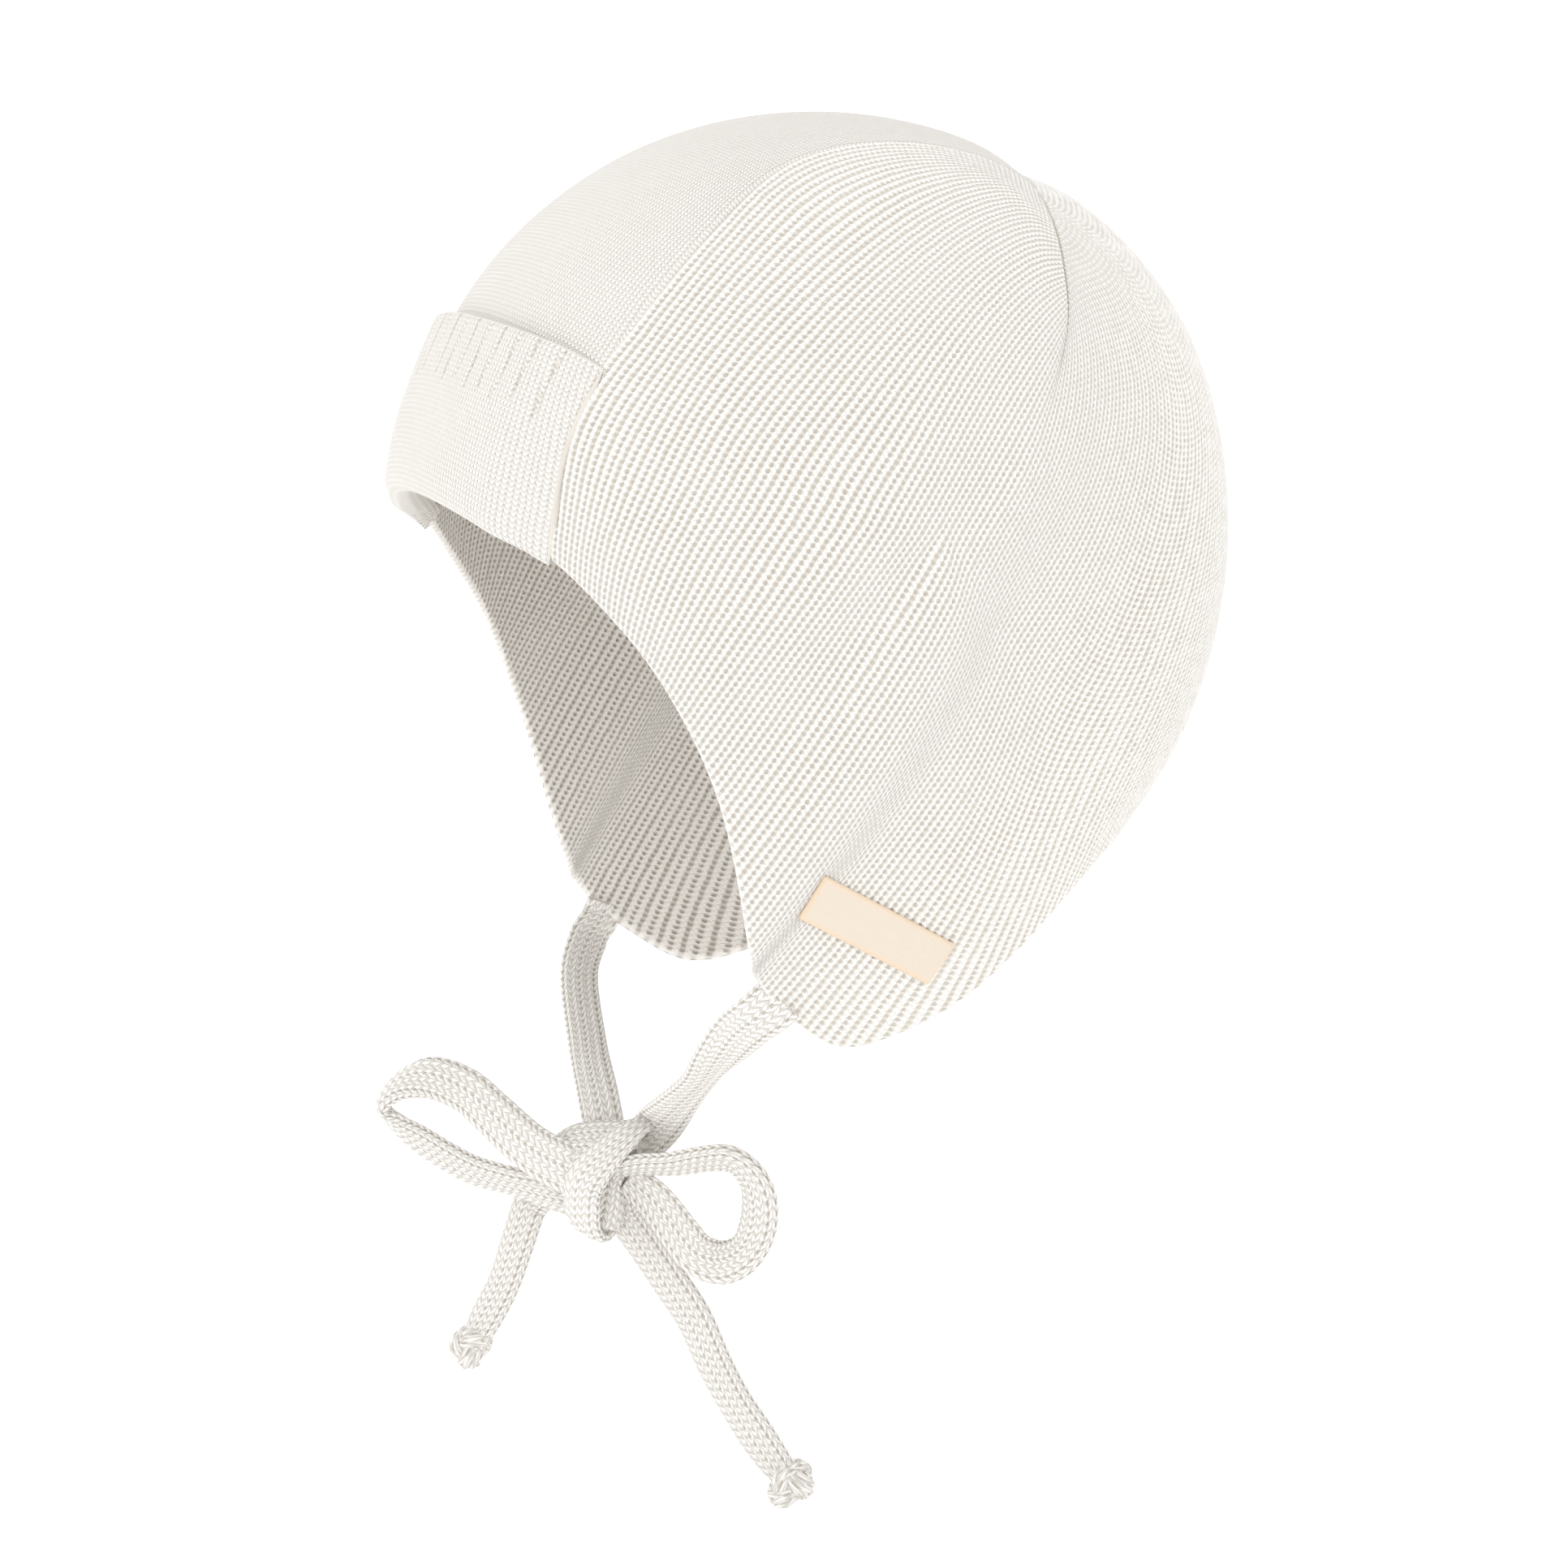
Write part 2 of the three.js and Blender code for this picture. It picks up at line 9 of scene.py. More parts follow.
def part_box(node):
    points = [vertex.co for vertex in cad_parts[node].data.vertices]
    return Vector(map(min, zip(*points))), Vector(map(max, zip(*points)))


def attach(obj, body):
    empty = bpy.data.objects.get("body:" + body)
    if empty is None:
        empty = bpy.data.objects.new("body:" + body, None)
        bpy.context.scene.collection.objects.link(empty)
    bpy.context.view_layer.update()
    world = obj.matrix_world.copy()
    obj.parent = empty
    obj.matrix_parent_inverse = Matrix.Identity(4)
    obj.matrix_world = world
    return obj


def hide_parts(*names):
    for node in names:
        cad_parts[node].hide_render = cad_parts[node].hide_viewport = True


bl_info = {
    "name": "Baby bonnet",
    "version": (1, 0, 0),
    "blender": (4, 5, 0),
    "location": "View3D > Sidebar > Bonnet",
    "description": "Builds a knitted baby bonnet with ear flaps and a tied bow",
    "category": "Object",
}

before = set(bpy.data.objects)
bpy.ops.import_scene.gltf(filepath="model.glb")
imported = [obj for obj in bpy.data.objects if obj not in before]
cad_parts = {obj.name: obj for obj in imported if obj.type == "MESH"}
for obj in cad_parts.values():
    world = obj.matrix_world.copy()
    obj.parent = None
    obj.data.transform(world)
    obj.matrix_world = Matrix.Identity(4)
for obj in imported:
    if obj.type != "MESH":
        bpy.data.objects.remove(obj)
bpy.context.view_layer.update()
MM = 0.001

# Sizes of the head form, in millimetres round its centre, as in the solids
HEAD_REACH = 81.6
HALF_WIDTH = 63.6
SIDE_FULLNESS = 2.42
FLAP_DROP = 94.4
FLAP_TUCK = 0.057
WALL = 2.0
GAP = 0.3
PROFILE = np.array([0.9, 0.922, 0.974, 1, 1.05, 1.148, 1.507, 1.728, 1.105, 0.94, 0.93, 0.909])
HEM_BACK = np.array([-0.93, -0.777, -0.619, -0.493, -0.4, -0.371, -0.248, -0.086, 0.179, 0.435,
                     0.625, 0.748])
HEM_RISE = np.array([0.049, -0.068, -0.24, -0.478, -0.782, -0.85, -0.955, -1.018, -0.95, -0.802,
                     -0.686, -0.678])
SEAM_TURN = np.radians(31)
SEAM_BEND = np.radians(9)
SEAM_DIP = 1.6
DIP_SPREAD = np.radians(5)
DART_HALF_SPAN = 56.5
PANEL_HALF_WIDTH = 40.6
PANEL = np.array([0.948, 0.921, 1, 0.936, 0.74, 0.64, 0.603])
PANEL_START = np.radians(264)
PANEL_STEP = np.radians(21.2)
CUFF_HEIGHT = 34.0
CUFF_THICKNESS = 4.0
CUFF_LIFT = 0.5
FOLD_HEIGHT = 4.0
CUFF_FLARE = 0.6
END_THINNING = 0.75
THINNING_START = 0.78
RIB_START = 22.0
RIB_COUNT = 18
LABEL_LENGTH = 33.0
LABEL_HEIGHT = 8.8
LABEL_SLOPE = np.radians(-29)
LABEL_CENTRE = (-0.0946 * HEAD_REACH, -0.763 * FLAP_DROP)
TIE_WIDTH = 7.6
TIE_THICKNESS = 2.6
WALE = 1.6
COURSE = 1.75
BOW_TURN = np.radians(48)

# Knits: a course is the height of one stitch, a wale the width of one column
RIB_SPACING = 1.6
RIB_COURSE = 1.2
JERSEY_WALE = 0.8
JERSEY_COURSE = 0.9
BORDER_COURSE = 1.3
TAPE_THREADS = 3.2
FLUFF_SCALE = 2600
FLUFF_HEIGHT = 0.00008
HEM_ROUNDING = 0.9
SEAM_GROOVE = 0.9
TOP_ROUNDING = 1.2
CUFF_OVERLAP = 0.9
# Distances of the cap's closest rows from the hem and the seam
ROWS_BY_EDGE = np.array([0, 0.25, 0.6, 1.0, 1.5, 2.1, 2.8])

# Ribs of one side, from the panel's edge round to the middle of the back: place on the
# hem, place on the crown seam (0 to 1 in front of it, 1 to 2 behind), then the heading
# in degrees and the pull of the rib at its start and at its end.
RIBS_PER_SIDE = 129
RIB_CHART = np.array([
    # hem, seam, start, start pull, end, end pull
    [0.945, 0.000, 115, 1.11, -53, 1.54],
    [1.867, 0.302, 94, 0.80, -20, 0.91],
    [2.826, 0.722, 57, 1.08, 19, 0.80],
    [4.020, 1.058, 57, 1.43, 74, 0.99],
    [5.744, 1.302, 56, 1.01, 107, 1.53],
    [8.749, 1.529, 87, 1.20, 127, 2.21],
    [10.430, 1.770, 102, 0.93, 134, 3.02],
    [11.000, 2.000, 30, 1.17, 148, 2.61],
])

# Where on the hem the first rib may start, and how much of a side lies beside the panel
# or near the middle of the back
HEM_START = 0.9
BESIDE_PANEL = 0.12
NEAR_MIDDLE = 0.12

# Routes of the ties, in millimetres round the head form's centre: x, y, z and the roll
# of the flat side in degrees.
TIE_ROUTES = {
    "tie_lead_left": [
        (48.7, -25, -83.7, -20), (47.8, -26.8, -85.7, -20), (45.6, -28.8, -88, -20),
        (40.5, -30, -91.5, -15), (33, -31, -97, -40), (24, -31, -103, -60),
        (14, -32, -110, -45), (4.5, -32.7, -117, -15), (-0.5, -37, -124, -10)],
    "tie_lead_right": [
        (-48.6, -24.6, -83.4, -55), (-48.9, -26, -86.8, -50), (-46.8, -29.2, -90.5, -50),
        (-39.5, -33.5, -96.5, -50), (-24, -37, -106.5, -45), (-10, -39.5, -114, -30),
        (-2, -40, -124, -20)],
    "bow_loop_left": [
        (0.5, -42, -128, 0), (-4.7, -47.6, -126, 0), (-9.9, -53.4, -122.6, 0),
        (-15.3, -59.5, -116.4, 5), (-19, -63.5, -112.5, 10), (-24, -69, -110.6, 30),
        (-28.5, -73.5, -112.5, 55), (-31.5, -76.5, -117, 65), (-31, -73.5, -121, 45),
        (-28.7, -69.8, -124.1, 30), (-24.6, -65.3, -127.1, 27), (-20.9, -61.2, -129.2, 28),
        (-15.9, -55.7, -130.4, 33), (-12, -51, -131.5, 22), (-8, -46.5, -132.5, 8),
        (-3, -42, -132, 0)],
    "bow_loop_right": [
        (0.5, -42, -126, 60), (3.7, -39.4, -124.5, 58), (6.8, -36, -123.5, 55),
        (10.8, -31.5, -122.8, 52), (15, -26.6, -121.3, 48), (18.8, -22.7, -121, 40),
        (21.2, -19.7, -124.2, 30), (22, -18.6, -129.1, 20), (21.2, -19.1, -134.8, 20),
        (19, -21, -139.5, 30), (15, -24, -141.8, 20), (12, -27.5, -140.5, 5),
        (9.7, -30, -137, 0), (6.4, -34, -130.8, 0), (3, -38, -127, 0)],
    "tie_tail_left": [
        (-5.6, -40.5, -131, 0), (-11.1, -43.7, -131.7, 0), (-16.9, -47.8, -133.3, 8),
        (-20.2, -50, -136.2, 12), (-20.8, -51.2, -139.5, 14), (-21, -53.1, -145.1, 15),
        (-21.9, -55.6, -152.9, 16), (-23.6, -59, -160.3, 15), (-25.7, -61.3, -165.8, 12)],
    "tie_tail_right": [
        (-1, -38, -130.5, 0), (-2.4, -36.9, -135.9, 0), (-0.8, -32.9, -142.4, 3),
        (2.3, -29.5, -148.4, 6), (6, -26, -155, 8), (8.8, -22.9, -163.6, 10),
        (12.5, -20.3, -170.1, 12), (16.6, -17.3, -176.1, 8), (19.2, -14.4, -181.1, 4),
        (21.5, -11.9, -184.9, 4)],
}
# How wide each tie lies at the rows of its route, as a share of its width
TIE_SPREAD = {
    "tie_lead_left": [1.3, 1.28, 1.22, 1.2, 1.12, 1.05, 1.1, 1.2, 1.1],
    "tie_lead_right": [1.2, 1.15, 1.08, 1, 1, 1.05, 1.05],
    "bow_loop_left": [1.3, 1.35, 1.3, 1.2, 1.15, 1.1, 1.05, 1, 1, 1, 1, 1, 1, 1, 0.95, 0.8],
    "bow_loop_right": [0.7, 0.9, 1, 1, 1, 1.05, 1.1, 1.1, 1.1, 1.1, 1.1, 1.1, 1.1, 1, 0.8],
    "tie_tail_left": [0.8, 0.9, 1, 1, 1, 1, 0.95, 0.9, 0.6],
    "tie_tail_right": [0.8, 0.95, 1, 1.05, 1.05, 1.05, 1.05, 1.05, 0.9, 0.6],
}
# The knots that close the far ends of the ties
# The knot of the bow, in millimetres round its middle: along the bow, up, and out of its
# face, then the width of the tie as a share.
BOW_KNOT = np.array([0, -40.4, -127])
KNOT_WRAP = [
    (2, 4, -3.2, 0.5), (5.2, 8.4, -3.0, 0.5), (6.9, 10.8, -0.6, 0.45), (6.6, 10.8, 2.4, 0.5),
    (4.2, 8.6, 4.2, 0.72), (0.2, 4.6, 5.1, 1.0), (-3.2, 0.2, 5.4, 1.25), (-4.2, -4.4, 5.0, 1.35),
    (-4.4, -8.6, 3.7, 1.28), (-4, -11, 1, 1.05), (-3.4, -10, -2, 1), (-2, -6, -3.4, 0.8)]
KNOT_FOLD = [
    (6, 8.8, 1, 0.8), (3, 8.3, 0.9, 0.9), (-1, 7.7, 0.3, 0.95), (-5, 7, -0.3, 0.95),
    (-9.4, 5.8, -1, 0.9), (-12.6, 3.4, -2.6, 0.8), (-12.2, 0.6, -4.6, 0.75),
    (-8, -1, -5.2, 0.8), (-3, -1.5, -4.6, 0.7)]
KNOT_WRAP_MIDDLE = (-0.5, 0, 0)
KNOT_FOLD_MIDDLE = (-5, 4.5, -2.6)
KNOT_THICKNESS = 2.2
KNOT_CORE_THICKNESS = 6.6
KNOT_CORE = [(-3.4, -9.4, 0.4, 1.2), (-2.6, -5, 0, 1.25), (-1.4, 0, -0.2, 1.1), (1.4, 5, -0.4, 1),
             (4.4, 8.6, -0.4, 0.8)]
# Half sizes of the end knots: along the tail, across it and towards the viewer
END_KNOTS = {"left": (4.9, 3.9, 3.6), "right": (4.0, 5.2, 3.8)}
KNOT_YARN = 2.1
TREFOIL_REACH = (2.76, 2.6, 1.1)

# The camera: turn and rise round the bonnet, distance and middle of the picture to the
# right and up, in millimetres, then the lens
VIEW_TURN = np.radians(68.468)
VIEW_RISE = np.radians(9.01)
VIEW_DISTANCE = 700.0
VIEW_MIDDLE = (-4.695, -52.862)
LENS = 84.77
SENSOR_WIDTH = 36.0
# The soft lights: name, place, watts, width and colour
LIT_MIDDLE = (0.0, 0.0, -0.1)
SOFTBOXES = (
    ("key_softbox", (0.75, -0.55, 0.3), 0.5, 0.7, (1.0, 0.99, 0.98)),
    ("fill_softbox", (0.9, 0.5, 0.1), 0.08, 0.8, (0.98, 0.99, 1.0)),
    ("front_softbox", (-0.45, -0.8, -0.1), 1.35, 0.6, (1.0, 0.99, 0.98)),
    ("low_softbox", (0.52, -0.56, -0.04), 0.12, 0.28, (1.0, 0.985, 0.97)),
    ("top_softbox", (0.1, 0.1, 0.9), 1.2, 0.6, (1.0, 0.995, 0.985)),
)
AIR_STRENGTH = 1.06
# The floor in metres: half its width, its depth, the bend's radius and the gap under the
# longer tie
FLOOR_HALF = 8
FLOOR_DEPTH = 1.6
FLOOR_BEND = 1.2
FLOOR_GAP = 0.004


# Curves and the head form
def between(rows, place, closed=False):
    """Smooth values between the rows of a table: a cubic through each four neighbours."""
    rows = np.asarray(rows, float)
    count = len(rows)
    if closed:
        row = np.floor(place).astype(int)
        a, b, c, d = (rows[(row + k) % count] for k in (-1, 0, 1, 2))
    else:
        padded = np.concatenate([[2 * rows[0] - rows[1]], rows, [2 * rows[-1] - rows[-2]]])
        row = np.clip(np.floor(place).astype(int), 0, count - 2)
        a, b, c, d = (padded[row + k] for k in (0, 1, 2, 3))
    f = place - row
    if rows.ndim == 2:
        f = f[..., None]
    square = 2 * a - 5 * b + 4 * c - d
    return b + 0.5 * f * (c - a + f * (square + f * (3 * b - a - 3 * c + d)))


def smooth(value, low, high):
    """0 below low, 1 above high and a smooth step between."""
    f = np.clip((value - low) / (high - low), 0, 1)
    return f * f * (3 - 2 * f)


def profile_reach(turn):
    """Reach of the profile at a turn round the line through the ears, in the side view: a
    smooth curve through the table's twelve values."""
    return HEAD_REACH * between(PROFILE, (turn % (2 * np.pi)) / (np.pi / 6), True)


def half_width(z):
    """Half width of the form at a height: full above the ears, and drawn in below them
    with the square of the depth."""
    return HALF_WIDTH * (1 - FLAP_TUCK * np.maximum(-z / FLAP_DROP, 0) ** 2)


def seam_turn(x):
    """Turn of the crown seam at a sideways place. It bends back with the fourth power of
    the place's share of the dart's span."""
    return SEAM_TURN + SEAM_BEND * (np.abs(x) / DART_HALF_SPAN) ** 4


def seam_dip(x, turn):
    """How far the form is drawn in beside the crown seam: a bell across the seam."""
    away = (turn - seam_turn(x) + np.pi) % (2 * np.pi) - np.pi
    along = 1 - smooth(np.abs(x), 0.8 * DART_HALF_SPAN, DART_HALF_SPAN)
    return SEAM_DIP * along * np.exp(-((away / DIP_SPREAD) ** 2))


def form_point(slant, turn, outward=0.0):
    """Point of the head form. The slant runs from 0 at the ear to 1 on the middle plane,
    the turn goes round the line through the ears. The radius in the side view is the
    profile's reach times the sine of the slant, and the width falls off from the ear as
    the square root of 1 less the radius share to the power of the fullness."""
    share = np.sin(slant * np.pi / 2)
    width = np.sqrt(np.maximum(1 - share ** SIDE_FULLNESS, 0))
    dip = seam_dip(HALF_WIDTH * width, turn)
    radius = (profile_reach(turn) + outward - dip) * share
    z = radius * np.cos(turn)
    return np.stack([(half_width(z) + outward) * width, radius * np.sin(turn), z], -1)


def on_form(x, turn, outward=0.0):
    """Point of the form at a sideways place and a turn, some way outside or inside it."""
    z = np.zeros(np.broadcast(x, turn).shape)
    for _ in range(5):
        across = np.clip(np.abs(x) / (half_width(z) + outward), 0, 1)
        full = profile_reach(turn) + outward - seam_dip(x, turn)
        radius = full * (1 - across * across) ** (1 / SIDE_FULLNESS)
        z = radius * np.cos(turn)
    return np.stack([x + 0 * z, radius * np.sin(turn), z], -1)


def width_at(y, z):
    """Half width of the form at a point of its middle plane."""
    share = np.clip(np.hypot(y, z) / profile_reach(np.arctan2(y, z)), 0, 1)
    return half_width(z) * np.sqrt(1 - share ** SIDE_FULLNESS)


def hem_point(place):
    """The hem in the side view, as y and z, at a place along its table."""
    return HEAD_REACH * between(HEM_BACK, place), FLAP_DROP * between(HEM_RISE, place)


def disc_of_hem(place):
    """The hem in the disc of the form, whose radius is the slant and angle the turn."""
    y, z = hem_point(place)
    turn = np.arctan2(y, z)
    slant = np.arcsin(np.clip(np.hypot(y, z) / profile_reach(turn), 0, 1)) / (np.pi / 2)
    return np.stack([slant * np.sin(turn), slant * np.cos(turn)], -1)


def disc_of_form(x, turn):
    """A sideways place and a turn of the form in its disc."""
    z = np.zeros_like(x)
    for _ in range(5):
        across = np.clip(x / half_width(z), 0, 1)
        share = (1 - across * across) ** (1 / SIDE_FULLNESS)
        z = profile_reach(turn) * share * np.cos(turn)
    slant = np.arcsin(share) / (np.pi / 2)
    return np.stack([slant * np.sin(turn), slant * np.cos(turn)], -1)


def disc_of_seam(place):
    """The crown seam in the disc, out to the dart's end in front and back behind it."""
    start = PANEL_HALF_WIDTH * PANEL[-1]
    x = np.where(place < 1, start + (DART_HALF_SPAN - start) * place, DART_HALF_SPAN * (2 - place))
    return disc_of_form(x, seam_turn(x))


def disc_of_panel_edge(place):
    """The panel's edge in the disc, from the hem at 0 to the crown seam at 1."""
    x, turn = panel_place(np.ones(2), np.array([0.0, 1.0]))
    turn = fold_turn(x[0]) + (turn[1] - fold_turn(x[0])) * place
    return disc_of_form(panel_half(turn) + 0.1, turn)


def fold_turn(x):
    """Turn of the cuff's fold at a sideways place, read off along the hem."""
    y, z = hem_point(np.linspace(0, 2.5, 400))
    return np.interp(np.abs(x), width_at(y, z), np.arctan2(y, z) + 2 * np.pi)


def panel_half(turn):
    """Half width of the panel at a turn: a smooth curve through its table."""
    place = np.clip((turn - PANEL_START) / PANEL_STEP, 0, len(PANEL) - 1)
    return PANEL_HALF_WIDTH * between(PANEL, place)


def turn_over_fold(x, height):
    """Turn at a height over the cuff's fold; the cuff grows higher towards its ends."""
    radius = profile_reach(PANEL_START) * (1 - (x / HALF_WIDTH) ** 2) ** CUFF_FLARE
    return fold_turn(x) + height / radius


def panel_place(across, along):
    """Sideways place and turn at a share across the panel and a share of its length."""
    lowest = turn_over_fold(np.zeros(1), FOLD_HEIGHT)
    x = across * panel_half(lowest + (seam_turn(0) + 2 * np.pi - lowest) * along)
    low = turn_over_fold(x, FOLD_HEIGHT)
    return x, low + (seam_turn(x) + 2 * np.pi - low) * along


# From the form's centre up to the frame's origin, at the inside of the crown
RISE = WALL - float(profile_reach(np.zeros(1))[0])


def placed(points):
    """Millimetres round the head form's centre to metres in the frame."""
    return (np.asarray(points, float) + (0, 0, RISE)) * MM


# Meshes
def mesh_piece(name, points, quads, corner_uv, triangles=None, triangle_uv=None, layers=None):
    """A mesh from whole arrays of points, four-cornered and three-cornered faces, the UV
    of each corner, and layers of one number per point."""
    triangles = np.zeros((0, 3), int) if triangles is None else triangles
    triangle_uv = np.zeros((0, 3, 2)) if triangle_uv is None else triangle_uv
    mesh = bpy.data.meshes.new(name)
    mesh.vertices.add(len(points))
    mesh.vertices.foreach_set("co", placed(points).astype(np.float32).ravel())
    corners = np.concatenate([quads.ravel(), triangles.ravel()]).astype(np.int32)
    starts = np.concatenate([np.arange(len(quads)) * 4,
                             len(quads) * 4 + np.arange(len(triangles)) * 3]).astype(np.int32)
    mesh.loops.add(len(corners))
    mesh.loops.foreach_set("vertex_index", corners)
    mesh.polygons.add(len(starts))
    mesh.polygons.foreach_set("loop_start", starts)
    mesh.update(calc_edges=True)
    uv = mesh.uv_layers.new(name="knit")
    flat = np.concatenate([corner_uv.reshape(-1, 2), triangle_uv.reshape(-1, 2)])
    uv.data.foreach_set("uv", flat.astype(np.float32).ravel())
    for key, values in (layers or {}).items():
        layer = mesh.attributes.new(key, "FLOAT", "POINT")
        layer.data.foreach_set("value", np.asarray(values, np.float32).ravel())
    mesh.polygons.foreach_set("use_smooth", np.ones(len(mesh.polygons), bool))
    mesh.validate()
    mesh.update()
    piece = bpy.data.objects.new(name, mesh)
    bpy.context.scene.collection.objects.link(piece)
    return piece


def grid_quads(rows, columns, wrap=False):
    """Corners of the quads of a grid, and their unwrapped row and column."""
    i, j = np.meshgrid(np.arange(rows - 1), np.arange(columns if wrap else columns - 1),
                       indexing="ij")
    i = np.stack([i, i + 1, i + 1, i], -1).reshape(-1, 4)
    j = np.stack([j, j, j + 1, j + 1], -1).reshape(-1, 4)
    return i * columns + j % columns, i, j


def slab_piece(name, outer, inner, uv, layers):
    """A closed sheet: the outer grid, the inner grid turned over, and rims between their
    borders. Both take the UV of the grid's own rows and columns."""
    rows, columns = outer.shape[:2]
    quads, _, _ = grid_quads(rows, columns)
    count = rows * columns
    loop = np.concatenate([
        np.arange(columns - 1),
        np.arange(rows - 1) * columns + columns - 1,
        (rows - 1) * columns + np.arange(columns - 1, 0, -1),
        np.arange(rows - 1, 0, -1) * columns])
    ahead = np.roll(loop, -1)
    rim = np.stack([loop, ahead, ahead + count, loop + count], -1)
    faces = np.concatenate([quads, quads[:, ::-1] + count, rim])
    points = np.concatenate([outer.reshape(-1, 3), inner.reshape(-1, 3)])
    flat = np.concatenate([uv.reshape(-1, 2)] * 2)
    both = {key: np.concatenate([value.ravel()] * 2) for key, value in layers.items()}
    both["lining"] = np.concatenate([np.zeros(count), np.ones(count)])
    return mesh_piece(name, points, faces, flat[faces], layers=both)


def end_fans(count, around):
    """Triangles that close the first and the last ring of a tube. Each fans out from a
    middle point, and the two middle points follow the rings' own."""
    k = np.arange(around)
    ahead = (k + 1) % around
    middle = np.full(around, count * around)
    first = np.stack([k, ahead, middle], -1)
    last = np.stack([ahead + (count - 1) * around, k + (count - 1) * around, middle + 1], -1)
    return np.concatenate([first, last])


def tube_piece(name, *tubes):
    """Closed tubes joined in one mesh. Each gives its rings of points, the UV around and
    along, its relief, and whether its last ring joins its first; if not, fans close it."""
    kept = {key: [] for key in ("points", "quads", "uv", "fans", "fan_uv", "relief")}
    base = 0
    for rings, across, along, relief, closed in tubes:
        count, around = rings.shape[:2]
        quads, i, j = grid_quads(count + closed, around, True)
        kept["points"].append(rings.reshape(-1, 3))
        kept["quads"].append(quads % (count * around) + base)
        kept["uv"].append(np.stack([across[j], along[i]], -1))
        kept["relief"].append(relief.ravel())
        if not closed:
            kept["fans"].append(end_fans(count, around) + base)
            ends = np.repeat(along[[0, -1]], around)[:, None]
            kept["fan_uv"].append(np.stack([0 * ends, ends], -1) * np.ones((1, 3, 1)))
            kept["points"].append(rings[[0, -1]].mean(1))
            kept["relief"].append(relief[[0, -1]].mean(1))
        base += count * around + (0 if closed else 2)
    whole = {key: np.concatenate(parts) for key, parts in kept.items() if parts}
    return mesh_piece(name, whole["points"], whole["quads"], whole["uv"], whole.get("fans"),
                      whole.get("fan_uv"), {"relief": whole["relief"]})


def finish_piece(piece, material, node):
    """Gives a piece its material and ties it to the frame, in place of a node."""
    piece.data.materials.append(material)
    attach(piece, "root")
    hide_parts(node)


# Materials
class NodeBench:
    """Short way to wire one material's nodes."""

    def __init__(self, name):
        self.material = bpy.data.materials.new(name)
        self.material.use_nodes = True
        self.tree = self.material.node_tree
        self.shader = self.tree.nodes["Principled BSDF"]

    def node(self, kind, **settings):
        made = self.tree.nodes.new(kind)
        for key, value in settings.items():
            setattr(made, key, value)
        return made

    def link(self, source, target):
        self.tree.links.new(source, target)

    def feed(self, socket, value):
        if isinstance(value, bpy.types.NodeSocket):
            self.link(value, socket)
        else:
            socket.default_value = value

    def math(self, operation, a, b=0.0, clamp=False):
        made = self.node("ShaderNodeMath", operation=operation, use_clamp=clamp)
        self.feed(made.inputs[0], a)
        self.feed(made.inputs[1], b)
        return made.outputs[0]

    def times(self, a, b, clamp=False):
        return self.math("MULTIPLY", a, b, clamp)

    def plus(self, a, b, clamp=False):
        return self.math("ADD", a, b, clamp)

    def less(self, a, b):
        return self.math("SUBTRACT", a, b)

    def step(self, value, low, high):
        """Smooth step of a value, from 0 at low to 1 at high."""
        made = self.node("ShaderNodeMapRange", interpolation_type="SMOOTHSTEP")
        self.feed(made.inputs["Value"], value)
        self.feed(made.inputs["From Min"], low)
        self.feed(made.inputs["From Max"], high)
        return made.outputs["Result"]

    def mix(self, share, a, b):
        made = self.node("ShaderNodeMix", data_type="RGBA")
        self.feed(made.inputs["Factor"], share)
        self.feed(made.inputs["A"], a)
        self.feed(made.inputs["B"], b)
        return made.outputs["Result"]

    def layer(self, name):
        return self.node("ShaderNodeAttribute", attribute_name=name).outputs["Fac"]

    def uv(self):
        made = self.node("ShaderNodeSeparateXYZ")
        self.link(self.node("ShaderNodeUVMap", uv_map="knit").outputs["UV"], made.inputs[0])
        return made.outputs["X"], made.outputs["Y"]

    def noise(self, scale, detail=2.0):
        """Noise on object coordinates; the scale is per metre."""
        made = self.node("ShaderNodeTexNoise")
        made.inputs["Scale"].default_value = scale
        made.inputs["Detail"].default_value = detail
        made.inputs["Roughness"].default_value = 0.5
        self.link(self.node("ShaderNodeTexCoord").outputs["Object"], made.inputs["Vector"])
        return made.outputs["Fac"]

    def bump(self, height, distance, strength, over=None):
        made = self.node("ShaderNodeBump")
        made.inputs["Distance"].default_value = distance
        made.inputs["Strength"].default_value = strength
        self.feed(made.inputs["Height"], height)
        if over is not None:
            self.link(over, made.inputs["Normal"])
        return made.outputs["Normal"]

    def fluff(self):
        """The fine fluff of cotton, under every other relief."""
        return self.bump(self.noise(FLUFF_SCALE, 3.0), FLUFF_HEIGHT, 0.5)

    def colour(self, value):
        self.link(value, self.shader.inputs["Base Color"])

    def relief(self, height, distance, strength):
        bumped = self.bump(height, distance, strength, self.fluff())
        self.link(bumped, self.shader.inputs["Normal"])

    def cotton(self, roughness=0.92):
        """Matt cotton: rough, with a faint sheen from its fluff."""
        self.shader.inputs["Roughness"].default_value = roughness
        self.shader.inputs["Specular IOR Level"].default_value = 0.2
        self.shader.inputs["Sheen Weight"].default_value = 0.08
        self.shader.inputs["Sheen Roughness"].default_value = 0.5


def tone(colour):
    """A colour with full opacity, as the nodes take it."""
    return (*colour[:3], 1.0)


def away_from_line(bench, value):
    """Distance of a count from its nearest whole number, 0 to 0.5."""
    return bench.math("PINGPONG", value, 0.5)


